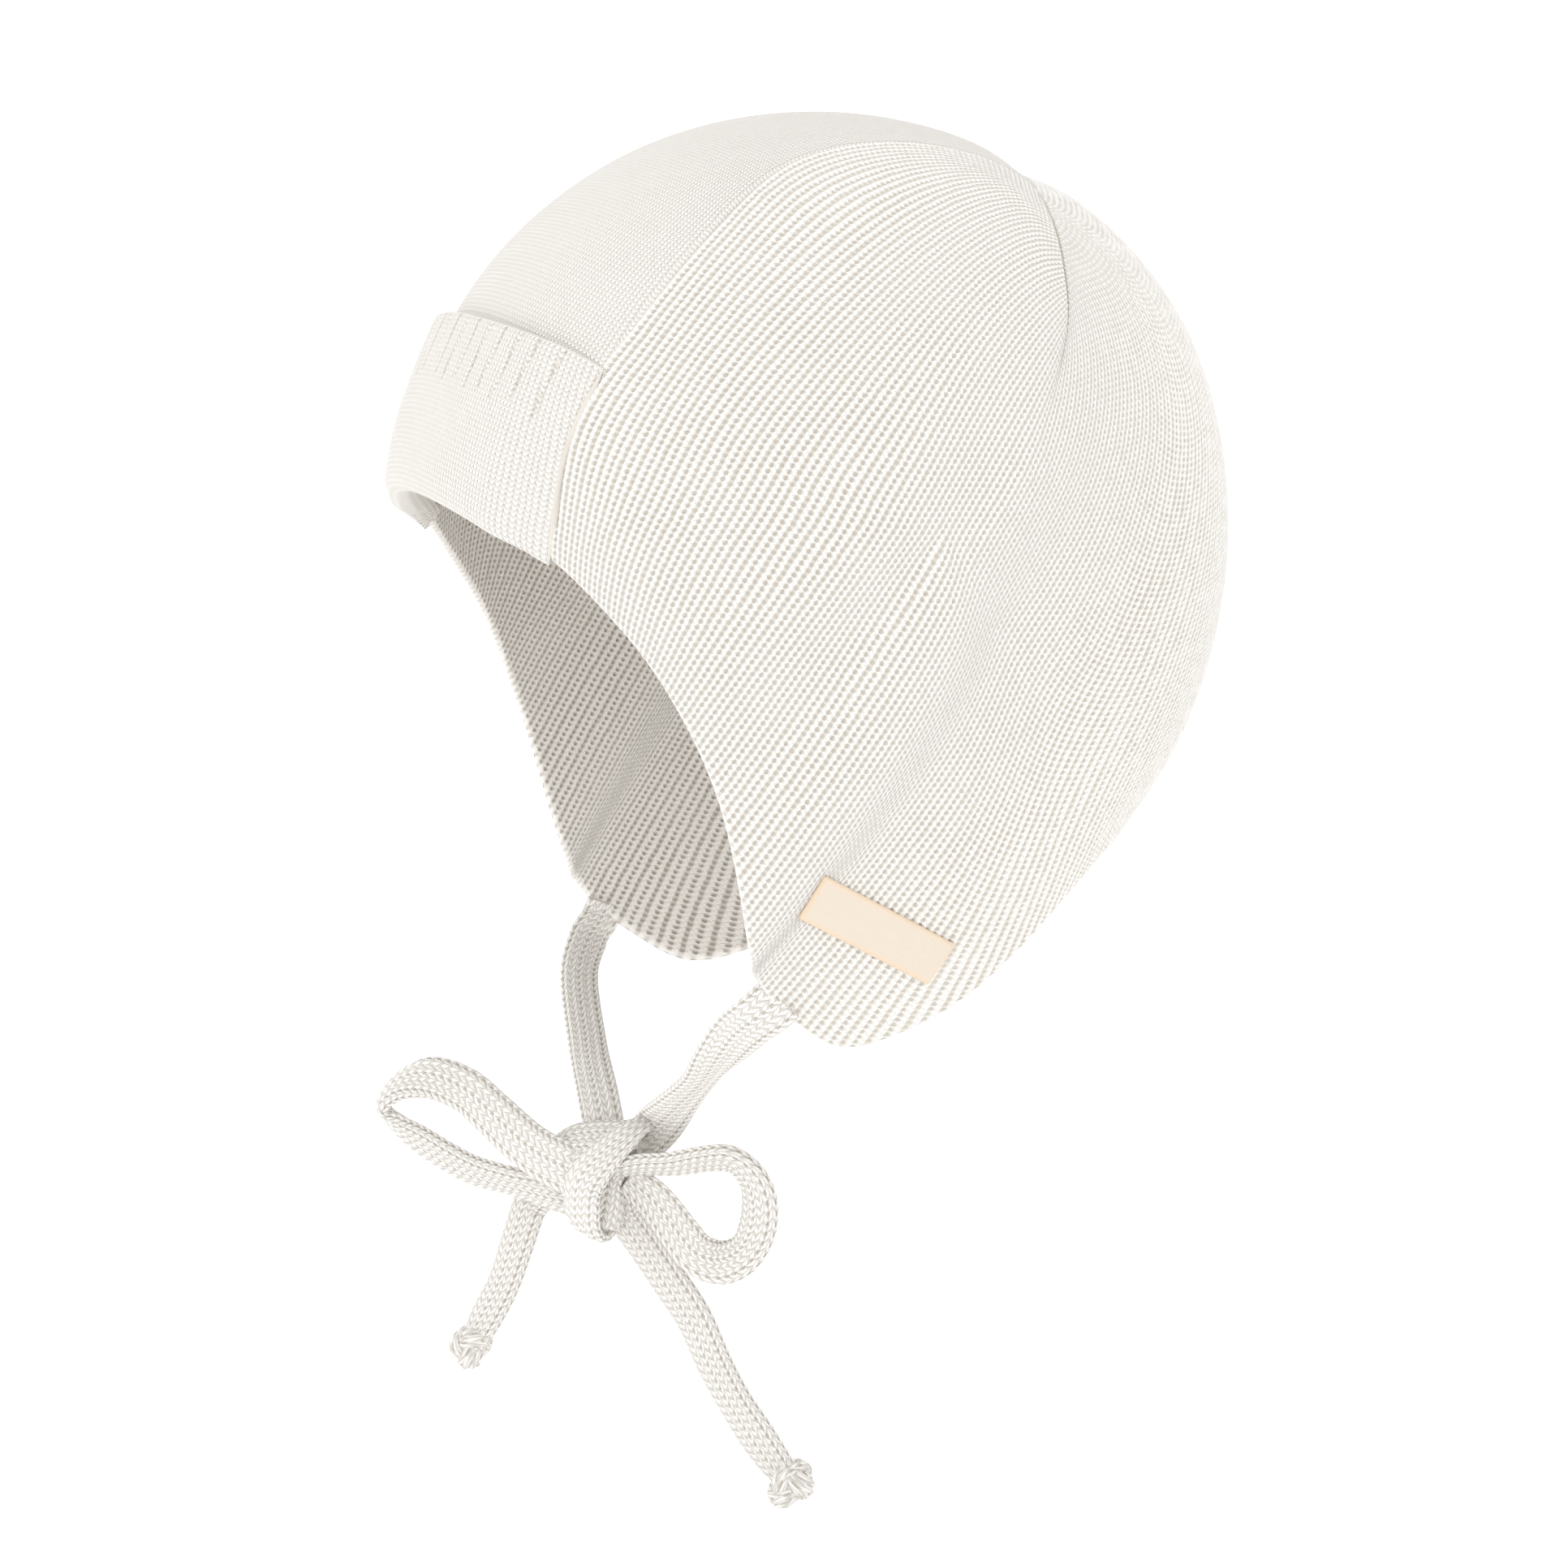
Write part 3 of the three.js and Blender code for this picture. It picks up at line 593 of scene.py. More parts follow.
def rib_knit(colours):
    """Rib knit: bright ribs one count wide with a valley at each whole count. Every other
    valley shows eyelets as separate dots, the rest as a soft line of joined dots. The eyelets
    and the slits between the stitch legs are painted shade, darker the further the knit is
    stretched. The lining is painted lighter, with deeper painted shade in its eyelets."""
    bench = NodeBench("rib_knit")
    across, along = bench.uv()
    stretch = bench.layer("stretch")
    wobble = bench.times(bench.less(bench.noise(420), 0.5), 0.35)
    across = bench.plus(across, wobble)
    valley = away_from_line(bench, across)
    nearest = bench.math("FLOOR", bench.plus(across, 0.5))
    row = bench.math("DIVIDE", along, RIB_COURSE)
    row = bench.plus(row, bench.times(nearest, 0.37))
    dots = away_from_line(bench, row)
    # 1 on valleys with separate dots, 0 on valleys with a joined line
    other = bench.math("PINGPONG", nearest, 1.0)
    narrow = bench.step(valley, 0.33, 0.08)
    dot = bench.step(dots, 0.1, 0.42)
    # The two legs of each stitch lean out from the middle of the rib as they climb
    lean = bench.plus(row, bench.times(valley, 1.1))
    slit = bench.step(away_from_line(bench, lean), 0.17, 0.0)
    joined = bench.plus(0.55, bench.times(dot, 0.45))
    pattern = bench.plus(bench.times(other, dot), bench.times(bench.less(1.0, other), joined))
    eyelet_shade = bench.times(narrow, pattern)
    open_knit = bench.step(stretch, 0.3, 1.75)
    strength = bench.plus(0.4, bench.times(open_knit, 0.55))
    edge_free = bench.times(bench.step(bench.layer("edge"), 0.1, 0.9), 0.55)
    edge_free = bench.plus(0.45, edge_free)
    seam_free = bench.step(bench.layer("seam"), 0.2, 1.2)
    strength = bench.times(strength, bench.times(edge_free, seam_free))
    # Painted shade: the eyelets and, more faintly, the slits between the stitch legs
    shade = bench.times(bench.math("MAXIMUM", eyelet_shade, bench.times(slit, 0.16)), strength)
    patches = bench.plus(0.75, bench.times(bench.noise(90), 0.5))
    # Painted shade in the groove along the crown seam
    seam_painted_shade = bench.times(bench.step(bench.layer("seam"), 0.6, 0.1), 0.9)
    shade = bench.math("MAXIMUM", bench.times(shade, patches, True), seam_painted_shade)
    # The painted shade darkens the cotton; the lining has its own lighter copy and deeper shade
    outside = bench.mix(shade, tone(colours.knit), tone(colours.eyelet_shade))
    inside = bench.mix(shade, tone(colours.lining), tone(colours.lining_eyelet_shade))
    bench.colour(bench.mix(bench.layer("lining"), outside, inside))
    cut = bench.math("MAXIMUM", eyelet_shade, bench.times(slit, 0.3))
    relief = bench.less(1.0, bench.times(cut, edge_free))
    bench.relief(relief, 0.0005, 0.7)
    bench.cotton()
    return bench.material


def smooth_knit(colours):
    """Fine jersey: narrow wales, each a column of small slanting stitches, with painted shade in
    the grooves between the wales, between the stitches and in dashes along the cuff's rib
    grooves. The lining is painted lighter, with deeper painted shade.
    """
    bench = NodeBench("smooth_knit")
    across, along = bench.uv()
    wobble = bench.times(bench.less(bench.noise(500), 0.5), 0.4)
    wale = away_from_line(bench, bench.plus(across, wobble))
    groove = bench.step(wale, 0.22, 0.02)
    slant = bench.plus(bench.math("DIVIDE", along, JERSEY_COURSE), bench.times(wale, 1.1))
    stitch = bench.step(away_from_line(bench, slant), 0.0, 0.3)
    # Painted shade: dashed eyelets along the rib grooves of the cuff's border
    groove_eyelet_mask = bench.layer("groove_eyelet_shade")
    dash = bench.step(away_from_line(bench, bench.math("DIVIDE", along, BORDER_COURSE)), 0.08, 0.3)
    # Painted shade in the grooves between the wales and between the stitches
    dark = bench.times(groove, 0.3)
    dark = bench.plus(dark, bench.times(bench.less(1.0, stitch), 0.24))
    dark = bench.plus(dark, bench.times(groove_eyelet_mask, dash), True)
    patches = bench.plus(0.7, bench.times(bench.noise(110), 0.6))
    dark = bench.times(dark, patches, True)
    outside = bench.mix(dark, tone(colours.knit), tone(colours.eyelet_shade))
    inside = bench.mix(dark, tone(colours.lining), tone(colours.lining_eyelet_shade))
    bench.colour(bench.mix(bench.layer("lining"), outside, inside))
    relief = bench.less(stitch, groove)
    bench.relief(relief, 0.00022, 0.8)
    bench.cotton()
    return bench.material


def tie_knit(colours):
    """Coarse jersey of the ties: an eyelet between each two wales at every course, painted in
    shade, and painted shade in the slits and creases between the stitch legs and in the
    hollows of the relief layer."""
    bench = NodeBench("tie_knit")
    across, along = bench.uv()
    column = bench.math("DIVIDE", across, WALE)
    wale = away_from_line(bench, column)
    valley = bench.step(wale, 0.2, 0.04)
    # Every other valley is more open, and its eyelets sit half a course higher
    nearest = bench.math("FLOOR", bench.plus(column, 0.5))
    other = bench.math("PINGPONG", nearest, 1.0)
    course = bench.math("DIVIDE", along, COURSE)
    dots = bench.plus(course, bench.times(other, 0.5))
    dots = bench.step(away_from_line(bench, dots), 0.18, 0.42)
    # Painted shade in the eyelets
    eyelet_shade = bench.times(bench.times(valley, dots),
                        bench.plus(0.55, bench.times(other, 0.45)))
    # The two legs of each stitch lean out from the middle of the wale as they climb
    step_up = bench.times(bench.math("FLOOR", column), 0.5)
    lean = bench.plus(bench.plus(course, step_up), bench.times(wale, 1.5))
    slit = bench.step(away_from_line(bench, lean), 0.2, 0.0)
    crease = bench.step(wale, 0.4, 0.5)
    gap = bench.math("MAXIMUM", slit, bench.times(crease, 0.6))
    # Painted shade in the hollows of the relief and in the slits and creases between the stitch
    # legs
    hollow = bench.times(bench.step(bench.layer("relief"), 0.6, 0.0), 0.22)
    dark = bench.math("MAXIMUM", hollow, bench.times(gap, 0.42))
    dark = bench.math("MAXIMUM", eyelet_shade, dark)
    bench.colour(bench.mix(dark, tone(colours.knit), tone(colours.eyelet_shade)))
    cut = bench.math("MAXIMUM", eyelet_shade, bench.times(gap, 0.6))
    bench.relief(bench.less(1.0, cut), 0.00045, 0.8)
    bench.cotton()
    return bench.material


def label_weave(colours):
    """Woven tape: fine warp and weft at right angles, warmer along its turned-in ends."""
    bench = NodeBench("label_weave")
    across, along = bench.uv()
    warp = away_from_line(bench, bench.times(across, TAPE_THREADS))
    weft = away_from_line(bench, bench.times(along, TAPE_THREADS))
    weave = bench.times(bench.step(warp, 0.0, 0.5), bench.step(weft, 0.0, 0.5))
    base = bench.mix(bench.layer("border"), tone(colours.label), tone(colours.label_edge))
    shadow = bench.times(bench.less(1.0, weave), 0.16)
    bench.colour(bench.mix(shadow, base, tone(colours.eyelet_shade)))
    bench.link(bench.bump(weave, 0.00006, 0.6), bench.shader.inputs["Normal"])
    bench.cotton(0.8)
    return bench.material


def plain_backdrop(colours):
    """Matt paper, which glows a little so that the floor stays as pale as the air."""
    bench = NodeBench("backdrop_paper")
    grain = bench.times(bench.noise(40), 0.02)
    bench.colour(bench.mix(grain, tone(colours.floor), (0.9, 0.9, 0.9, 1.0)))
    bench.shader.inputs["Roughness"].default_value = 0.95
    bench.shader.inputs["Emission Color"].default_value = (1.0, 1.0, 1.0, 1.0)
    bench.shader.inputs["Emission Strength"].default_value = 0.2
    return bench.material


# Settings
class BonnetSizes(bpy.types.PropertyGroup):
    rib_relief: bpy.props.FloatProperty(
        name="Rib relief", description="Height of the ribs of the cap over their valleys",
        default=0.45 * MM, unit="LENGTH")
    cuff_rib_relief: bpy.props.FloatProperty(
        name="Cuff rib relief", description="Depth of the grooves in the cuff's border",
        default=0.35 * MM, unit="LENGTH")
    stitch_relief: bpy.props.FloatProperty(
        name="Stitch relief", description="Height of the stitches of the ties",
        default=0.5 * MM, unit="LENGTH")
    tie_width: bpy.props.FloatProperty(
        name="Tie width", description="Width of the flat ties",
        default=TIE_WIDTH * MM, unit="LENGTH")
    tie_thickness: bpy.props.FloatProperty(
        name="Tie thickness", description="Thickness of the flat ties",
        default=TIE_THICKNESS * MM, unit="LENGTH")


class BonnetColours(bpy.types.PropertyGroup):
    knit: bpy.props.FloatVectorProperty(
        name="Knit", description="Off-white cotton of the ribs and stitches",
        default=(0.885, 0.862, 0.826), size=3, min=0, max=1, subtype="COLOR")
    # Painted shade: the dark of the holes between the stitches, also used for the painted shade of
    # grooves, slits, hollows and the label's weave
    eyelet_shade: bpy.props.FloatVectorProperty(
        name="Eyelets", description="Shaded holes between the stitches",
        default=(0.6, 0.545, 0.455), size=3, min=0, max=1, subtype="COLOR")
    # Painted light: the same cotton painted lighter on the inside of the cap, to lift its shade
    lining: bpy.props.FloatVectorProperty(
        name="Lining", description="The same cotton on the inside of the cap",
        default=(0.92, 0.885, 0.84), size=3, min=0, max=1, subtype="COLOR")
    # Painted shade in the holes on the inside of the cap, deeper than on the outside
    lining_eyelet_shade: bpy.props.FloatVectorProperty(
        name="Lining eyelets", description="Shaded holes on the inside of the cap",
        default=(0.44, 0.39, 0.33), size=3, min=0, max=1, subtype="COLOR")
    label: bpy.props.FloatVectorProperty(
        name="Label", description="Cream woven tape",
        default=(0.8, 0.7, 0.59), size=3, min=0, max=1, subtype="COLOR")
    label_edge: bpy.props.FloatVectorProperty(
        name="Label edge", description="Warmer turned-in ends of the label",
        default=(0.86, 0.66, 0.46), size=3, min=0, max=1, subtype="COLOR")
    floor: bpy.props.FloatVectorProperty(
        name="Floor", description="Pale floor and backdrop",
        default=(0.9, 0.9, 0.9), size=3, min=0, max=1, subtype="COLOR")


# Rib cap
def rib_lines(share, fine):
    """Ribs of one side in the disc: each is a cubic from the hem to the crown seam that
    leaves and arrives with the chart's headings and pulls. The first follows the panel."""
    # The ribs crowd towards the middle of the back. That evens them at the hem, but leaves
    # them too close together higher up.
    rest = 1 - share
    rest = rest * (0.6 + 0.4 * smooth(rest, 0, NEAR_MIDDLE))
    place = (1 - rest) * (len(RIB_CHART) - 1)
    hem, seam, start, start_pull, end, end_pull = np.moveaxis(between(RIB_CHART, place), -1, 0)
    low = disc_of_hem(np.clip(hem, HEM_START, len(HEM_BACK) - 1))[:, None]
    high = disc_of_seam(np.clip(seam, 0, 2))[:, None]
    start, end = np.radians(start), np.radians(end)
    leave = (np.stack([np.cos(start), np.sin(start)], -1) * start_pull[:, None])[:, None]
    arrive = (np.stack([np.cos(end), np.sin(end)], -1) * end_pull[:, None])[:, None]
    t = fine[None, :, None]
    lines = (2 * t ** 3 - 3 * t ** 2 + 1) * low + (t ** 3 - 2 * t ** 2 + t) * leave
    lines = lines + (3 * t ** 2 - 2 * t ** 3) * high + (t ** 3 - t ** 2) * arrive
    beside_panel = 1 - smooth(share, 0, BESIDE_PANEL)[:, None, None]
    lines = lines + (disc_of_panel_edge(fine)[None] - lines[:1]) * beside_panel
    reach = np.hypot(lines[..., 0], lines[..., 1])[..., None]
    return lines * np.minimum(1, 1 / np.maximum(reach, 1e-6))


def rib_cap_grids(relief, per_rib=3, rows=58):
    """Outer and inner grids of the cap. The columns are the ribs, from the panel's edge on
    the left side round the back to the right side. The rows are set by the length along
    each rib, closer together at the hem and the seam."""
    columns = RIBS_PER_SIDE * per_rib + 1
    share = np.linspace(0, 1, columns)
    fine = np.linspace(0, 1, 161)
    lines = rib_lines(share, fine)
    # The last rib lies on the middle plane
    lines[-1] *= 1 / np.maximum(np.hypot(lines[-1, :, 0], lines[-1, :, 1]), 1e-6)[:, None]
    slant = np.hypot(lines[..., 0], lines[..., 1])
    turn = np.arctan2(lines[..., 0], lines[..., 1])
    points = form_point(slant, turn)
    steps = np.linalg.norm(np.diff(points, axis=1), axis=2)
    length = np.concatenate([np.zeros((columns, 1)), np.cumsum(steps, 1)], 1)
    whole = length[:, -1:]
    along_hem = np.gradient(points[:, 0], axis=0)
    hem_step = np.linalg.norm(along_hem, axis=1)
    heading = points[:, 2] - points[:, 0]
    heading /= np.linalg.norm(heading, axis=1)[:, None]
    cosine = (along_hem * heading).sum(1) / hem_step
    sine = np.sqrt(np.clip(1 - cosine ** 2, 0.12, 1))
    courses = np.concatenate([[0], np.cumsum((cosine * hem_step)[1:])])
    low = np.minimum(ROWS_BY_EDGE[None] / sine[:, None], whole * 0.3)
    high = whole - np.minimum(ROWS_BY_EDGE[::-1][None], whole * 0.2)
    middle = np.linspace(0, 1, rows - 2 * len(ROWS_BY_EDGE) + 2)[None, 1:-1]
    middle = low[:, -1:] + (high[:, :1] - low[:, -1:]) * middle
    wanted = np.concatenate([low, middle, high], 1)
    index = (length[:, None, :] <= wanted[:, :, None]).sum(2) - 1
    index = np.clip(index, 0, len(fine) - 2)
    before = np.take_along_axis(length, index, 1)
    after = np.take_along_axis(length, index + 1, 1)
    part = ((wanted - before) / np.maximum(after - before, 1e-9))[..., None]
    picked = np.take_along_axis(lines, index[..., None], 1)
    picked = picked + part * (np.take_along_axis(lines, index[..., None] + 1, 1) - picked)
    slant = np.hypot(picked[..., 0], picked[..., 1])
    turn = np.arctan2(picked[..., 0], picked[..., 1])
    surface = form_point(slant, turn)
    forward = np.gradient(surface, axis=1)
    forward /= np.maximum(np.linalg.norm(forward, axis=2), 1e-9)[..., None]
    sideways = np.gradient(surface, axis=0)
    slide = (sideways * forward).sum(2)
    stretch = np.sqrt(np.maximum((sideways ** 2).sum(2) - slide ** 2, 0)) * per_rib
    from_hem = wanted * sine[:, None]
    from_seam = whole - wanted
    count = share * RIBS_PER_SIDE
    wave = np.abs(np.sin(np.pi * count))[:, None] ** 0.6 - 1
    # Round the back and over the crown the stretch is lowered: softer ribs, and weaker painted
    # shade in the eyelets there
    stretch = np.minimum(stretch, RIB_SPACING) * (1 - 0.45 * smooth(surface[..., 1], 45, 78))
    stretch = stretch * (1 - 0.25 * smooth(surface[..., 2], 30, 72))
    depth = relief * np.clip(stretch / RIB_SPACING, 0.3, 1.1)
    depth = depth * (0.4 + 0.6 * smooth(from_hem, 0.1, 1.4)) * smooth(from_seam, 0.2, 1.6)
    rounded = HEM_ROUNDING * (1 - np.sqrt(1 - np.clip(1 - from_hem / 1.1, 0, 1) ** 2))
    groove = SEAM_GROOVE * np.clip(1 - from_seam / 1.2, 0, 1) ** 2
    outer = form_point(slant, turn, depth * wave - rounded - groove)
    inner = form_point(slant, turn, -WALL - depth * wave * 0.8 + rounded)
    uv = np.stack([np.repeat(count[:, None], rows, 1), wanted + courses[:, None]], -1)
    from_panel = 0.6 + np.repeat(count[:, None], rows, 1)
    layers = {"edge": from_hem, "seam": np.minimum(from_seam, from_panel), "stretch": stretch}
    return outer, inner, uv, layers


def both_sides(grid, across=None):
    """Joins one side's grid to its mirror image at the shared middle column. Points change
    sides, a count goes on past the given middle, and with 0 the values stay as they are."""
    other = grid[-2::-1].copy()
    if across is None:
        other[..., 0] *= -1
    elif across:
        other[..., 0] = 2 * across - other[..., 0]
    return np.concatenate([grid, other])


class BONNET_OT_rib_cap(bpy.types.Operator):
    """Builds the rib-knit cap with its ear flaps"""
    bl_idname = "bonnet.rib_cap"
    bl_label = "Rib cap"

    def execute(self, context):
        relief = context.scene.bonnet_sizes.rib_relief / MM
        outer, inner, uv, layers = rib_cap_grids(relief)
        piece = slab_piece("cap_of_rib_knit", both_sides(outer), both_sides(inner),
                           both_sides(uv, RIBS_PER_SIDE),
                           {key: both_sides(value, 0) for key, value in layers.items()})
        finish_piece(piece, rib_knit(context.scene.bonnet_colours), "rib_cap")
        return {"FINISHED"}


# Front panel and cuff
class BONNET_OT_front_panel(bpy.types.Operator):
    """Builds the smooth panel from the brow to the crown seam"""
    bl_idname = "bonnet.front_panel"
    bl_label = "Front panel"

    def execute(self, context):
        across, along = np.meshgrid(np.linspace(-1, 1, 97), np.linspace(0, 1, 111), indexing="ij")
        x, turn = panel_place(across, along)
        surface = on_form(x, turn)
        rise = np.linalg.norm(np.diff(surface, axis=1), axis=2)
        length = np.concatenate([np.zeros((len(rise), 1)), np.cumsum(rise, 1)], 1)
        side = (1 - np.abs(across)) * PANEL_HALF_WIDTH
        end = length[:, -1:] - length
        rounded = 0.4 * np.clip(1 - side / 0.9, 0, 1) ** 2
        rounded = rounded + 0.5 * np.clip(1 - end / 0.9, 0, 1) ** 2
        outer = on_form(x, turn, -rounded)
        inner = on_form(x, turn, -WALL + 0 * x)
        wales = across * PANEL_HALF_WIDTH / JERSEY_WALE
        uv = np.stack([wales, length], -1)
        layers = {"groove_eyelet_shade": 0 * wales}
        piece = slab_piece("panel_of_smooth_knit", outer, inner, uv, layers)
        finish_piece(piece, smooth_knit(context.scene.bonnet_colours), "front_panel")
        return {"FINISHED"}


def cuff_profile():
    """The cuff's section as a closed line of points: the climb from the fold and the
    distance from the form. The band is thickest at the fold and thins to its upper edge."""
    outside = CUFF_LIFT + CUFF_THICKNESS
    seat = FOLD_HEIGHT - GAP
    fold = np.linspace(-np.pi / 2, np.pi / 2, 17)
    middle, half = (outside - WALL) / 2, (outside + WALL) / 2
    low = np.stack([4.2 - 4.2 * np.cos(fold) ** 0.8, middle + half * np.sin(fold)], -1)
    climb = np.linspace(5.0, CUFF_HEIGHT - TOP_ROUNDING, 44)
    top_thickness = 0.58 * CUFF_THICKNESS
    slope = smooth(climb, 8, CUFF_HEIGHT - 4)
    front = np.stack([climb, outside - (CUFF_THICKNESS - top_thickness) * slope], -1)
    bend = np.linspace(0, np.pi / 2, 7)[1:]
    edge = CUFF_LIFT + top_thickness
    top = np.stack([CUFF_HEIGHT - TOP_ROUNDING + TOP_ROUNDING * np.sin(bend),
                    edge - TOP_ROUNDING + TOP_ROUNDING * np.cos(bend)], -1)
    back = np.stack([np.linspace(CUFF_HEIGHT, seat, 16), np.full(16, CUFF_LIFT)], -1)
    return np.concatenate([low, front, top, back, [[seat, -0.8 * WALL]]])


class BONNET_OT_front_cuff(bpy.types.Operator):
    """Builds the turned-up band over the brow with its ribbed border"""
    bl_idname = "bonnet.front_cuff"
    bl_label = "Front cuff"

    def execute(self, context):
        relief = context.scene.bonnet_sizes.cuff_rib_relief / MM
        section = cuff_profile()
        columns = 28 * RIB_COUNT + 1
        across = np.linspace(-1, 1, columns)[:, None]
        climb, out = section[None, :, 0], section[None, :, 1]
        rib = (across + 1) / 2 * RIB_COUNT
        side = np.abs(across)
        half = panel_half(turn_over_fold(np.zeros(1), climb))
        x = across * (half + CUFF_OVERLAP * smooth(side, 0.9, 1))
        turn = turn_over_fold(x, climb)
        line = np.abs((rib + 0.5) % 1 - 0.5)
        start = RIB_START - 0.8 * (np.floor(rib + 0.5) % 2)
        ribbed = smooth(climb, start - 0.8, start + 0.8) * (climb < CUFF_HEIGHT - 0.4)
        ribbed = ribbed * (out > CUFF_LIFT + 0.3 * CUFF_THICKNESS)
        groove = relief * np.exp(-((line / 0.08) ** 2)) * ribbed
        swell = 0.12 * (0.5 - 0.5 * np.cos(2 * np.pi * rib)) * ribbed
        thinned = 1 - END_THINNING * smooth(side, THINNING_START, 1)
        thinned = thinned - (0.95 - END_THINNING) * smooth(side, 0.95, 1)
        proud = np.maximum(out - groove + swell - CUFF_LIFT, 0) * thinned
        seat = np.minimum(out, CUFF_LIFT * (1 - 0.7 * smooth(side, 0.8, 1)))
        points = on_form(x, turn, seat + proud)
        wales = x / JERSEY_WALE
        uv_along = climb + 0 * x
        # Painted shade: dashed eyelets along the rib grooves of the border
        layers = {"groove_eyelet_shade": 0.6 * np.exp(-((line / 0.06) ** 2)) * ribbed,
                  "lining": np.where(out + 0 * x < CUFF_LIFT, 1.0, 0.0)}
        piece = cuff_mesh(points, wales, uv_along, layers)
        finish_piece(piece, smooth_knit(context.scene.bonnet_colours), "front_cuff")
        return {"FINISHED"}


def cuff_mesh(points, wales, along, layers):
    """Joins the cuff's rings, one section each, and closes the two ends with fans."""
    count, around = points.shape[:2]
    quads, i, j = grid_quads(count, around, True)
    uv = np.stack([wales[i, j % around], along[i, j % around]], -1)
    flat = np.concatenate([points.reshape(-1, 3), points[[0, -1]].mean(1)])
    fans = end_fans(count, around)
    fan_uv = np.zeros((len(fans), 3, 2))
    extra = {key: np.concatenate([value.ravel(), value[[0, -1]].mean(1)])
             for key, value in layers.items()}
    return mesh_piece("cuff_of_smooth_knit", flat, quads[:, ::-1], uv[:, ::-1],
                      fans[:, ::-1], fan_uv, extra)


# Label
class BONNET_OT_side_label(bpy.types.Operator):
    """Builds the small bare woven label on the left ear flap"""
    bl_idname = "bonnet.side_label"
    bl_label = "Side label"

    def execute(self, context):
        u, v = np.meshgrid(np.linspace(-0.5, 0.5, 81), np.linspace(-0.5, 0.5, 31), indexing="ij")
        along, up = u * LABEL_LENGTH, v * LABEL_HEIGHT
        y = LABEL_CENTRE[0] + along * np.cos(LABEL_SLOPE) - up * np.sin(LABEL_SLOPE)
        z = LABEL_CENTRE[1] + along * np.sin(LABEL_SLOPE) + up * np.cos(LABEL_SLOPE)
        x = width_at(y, z)
        turned = (0.5 - np.abs(u)) * LABEL_LENGTH
        end = np.minimum(turned, (0.5 - np.abs(v)) * LABEL_HEIGHT)
        lift = 0.75 - 0.45 * np.clip(1 - end / 0.5, 0, 1) ** 2
        lift = lift + 0.22 * (1 - smooth(turned, 2.2, 2.7))
        lift = lift + 0.1 * np.sin(along * 0.5) * (1 - 4 * v * v)
        outer = np.stack([x + lift, y, z], -1)
        inner = np.stack([x + 0.1, y, z], -1)
        layers = {"border": np.clip(1 - end / 1.3, 0, 1) ** 1.5}
        piece = slab_piece("label_of_woven_tape", outer, inner, np.stack([along, up], -1), layers)
        finish_piece(piece, label_weave(context.scene.bonnet_colours), "side_label")
        return {"FINISHED"}


# Ties: the way out of the bow's face, and the way along the bow
BOW_FACE = np.array([np.sin(BOW_TURN), -np.cos(BOW_TURN), 0.0])
BOW_WAY = np.array([np.cos(BOW_TURN), np.sin(BOW_TURN), 0.0])


def tie_route(rows, spread, closed=False, around=None, spacing=0.35):
    """Points, flat ways, ways out of the flat side, widths and places of a tie along its
    route, evenly spaced. The flat side faces as the bow does, less its roll, or else away
    from a point that the tie goes around."""
    rows = np.column_stack([np.asarray(rows, float), spread])
    count = len(rows) - (not closed)
    dense = between(rows, np.linspace(0, count, 60 * count + 1), closed)
    steps = np.linalg.norm(np.diff(dense[:, :3], axis=0), axis=1)
    length = np.concatenate([[0], np.cumsum(steps)])
    at = np.linspace(0, length[-1], max(int(length[-1] / spacing), 8))
    line = np.stack([np.interp(at, length, column) for column in dense.T], -1)
    points = line[:, :3]
    ahead = np.gradient(points, axis=0)
    if closed:
        ahead[[0, -1]] = points[1] - points[-2]
    ahead /= np.linalg.norm(ahead, axis=1)[:, None]
    flat = np.cross(BOW_FACE if around is None else points - around, ahead)
    flat /= np.linalg.norm(flat, axis=1)[:, None]
    roll = np.radians(line[:, 3:4])
    across = flat * np.cos(roll) + np.cross(ahead, flat) * np.sin(roll)
    return points, across, np.cross(ahead, across), line[:, 4], at


def stitch_relief(across, along):
    """Heights of the tie's wales from 0 to 1: each is a rounded column, a little lower
    once in every course, where one stitch slips into the next."""
    place = np.abs((across / WALE) % 1 - 0.5)
    pinch = np.abs(np.sin(np.pi * (along / COURSE - place * 1.3)))
    return np.clip(1 - 4 * place ** 2, 0, 1) ** 0.7 * (0.95 + 0.05 * pinch)


def tie_rings(route, width, thickness, relief, around=60, closed=False):
    """Rings of a flat knitted tube: a rounded flat section set across the route, raised by
    the stitches of its wales. Returned with the UV around, along and the stitches."""
    points, across, out, spread, at = route
    angle = 2 * np.pi * np.arange(around) / around
    flat_x = np.sign(np.cos(angle)) * np.abs(np.cos(angle)) ** 0.8 * width / 2
    flat_y = np.sign(np.sin(angle)) * np.abs(np.sin(angle)) ** 0.75 * thickness / 2
    steps = np.hypot(np.diff(flat_x, append=flat_x[:1]), np.diff(flat_y, append=flat_y[:1]))
    girth = np.concatenate([[0], np.cumsum(steps)])
    girth = girth / girth[-1] * np.round(girth[-1] / WALE) * WALE
    if closed:
        at = at / at[-1] * np.round(at[-1] / COURSE) * COURSE
    height = stitch_relief(girth[None, :-1], at[:, None])
    grow = relief * (height - 0.6)
    normal = np.stack([np.cos(angle) * thickness, np.sin(angle) * width])
    normal /= np.hypot(*normal)
    section_x = flat_x[None] * spread[:, None] + grow * normal[0]
    section_y = flat_y[None] + grow * normal[1]
    rings = points[:, None] + section_x[..., None] * across[:, None]
    rings = rings + section_y[..., None] * out[:, None]
    if closed:
        return rings[:-1], girth, at, height[:-1], True
    return rings, girth, at, height, False


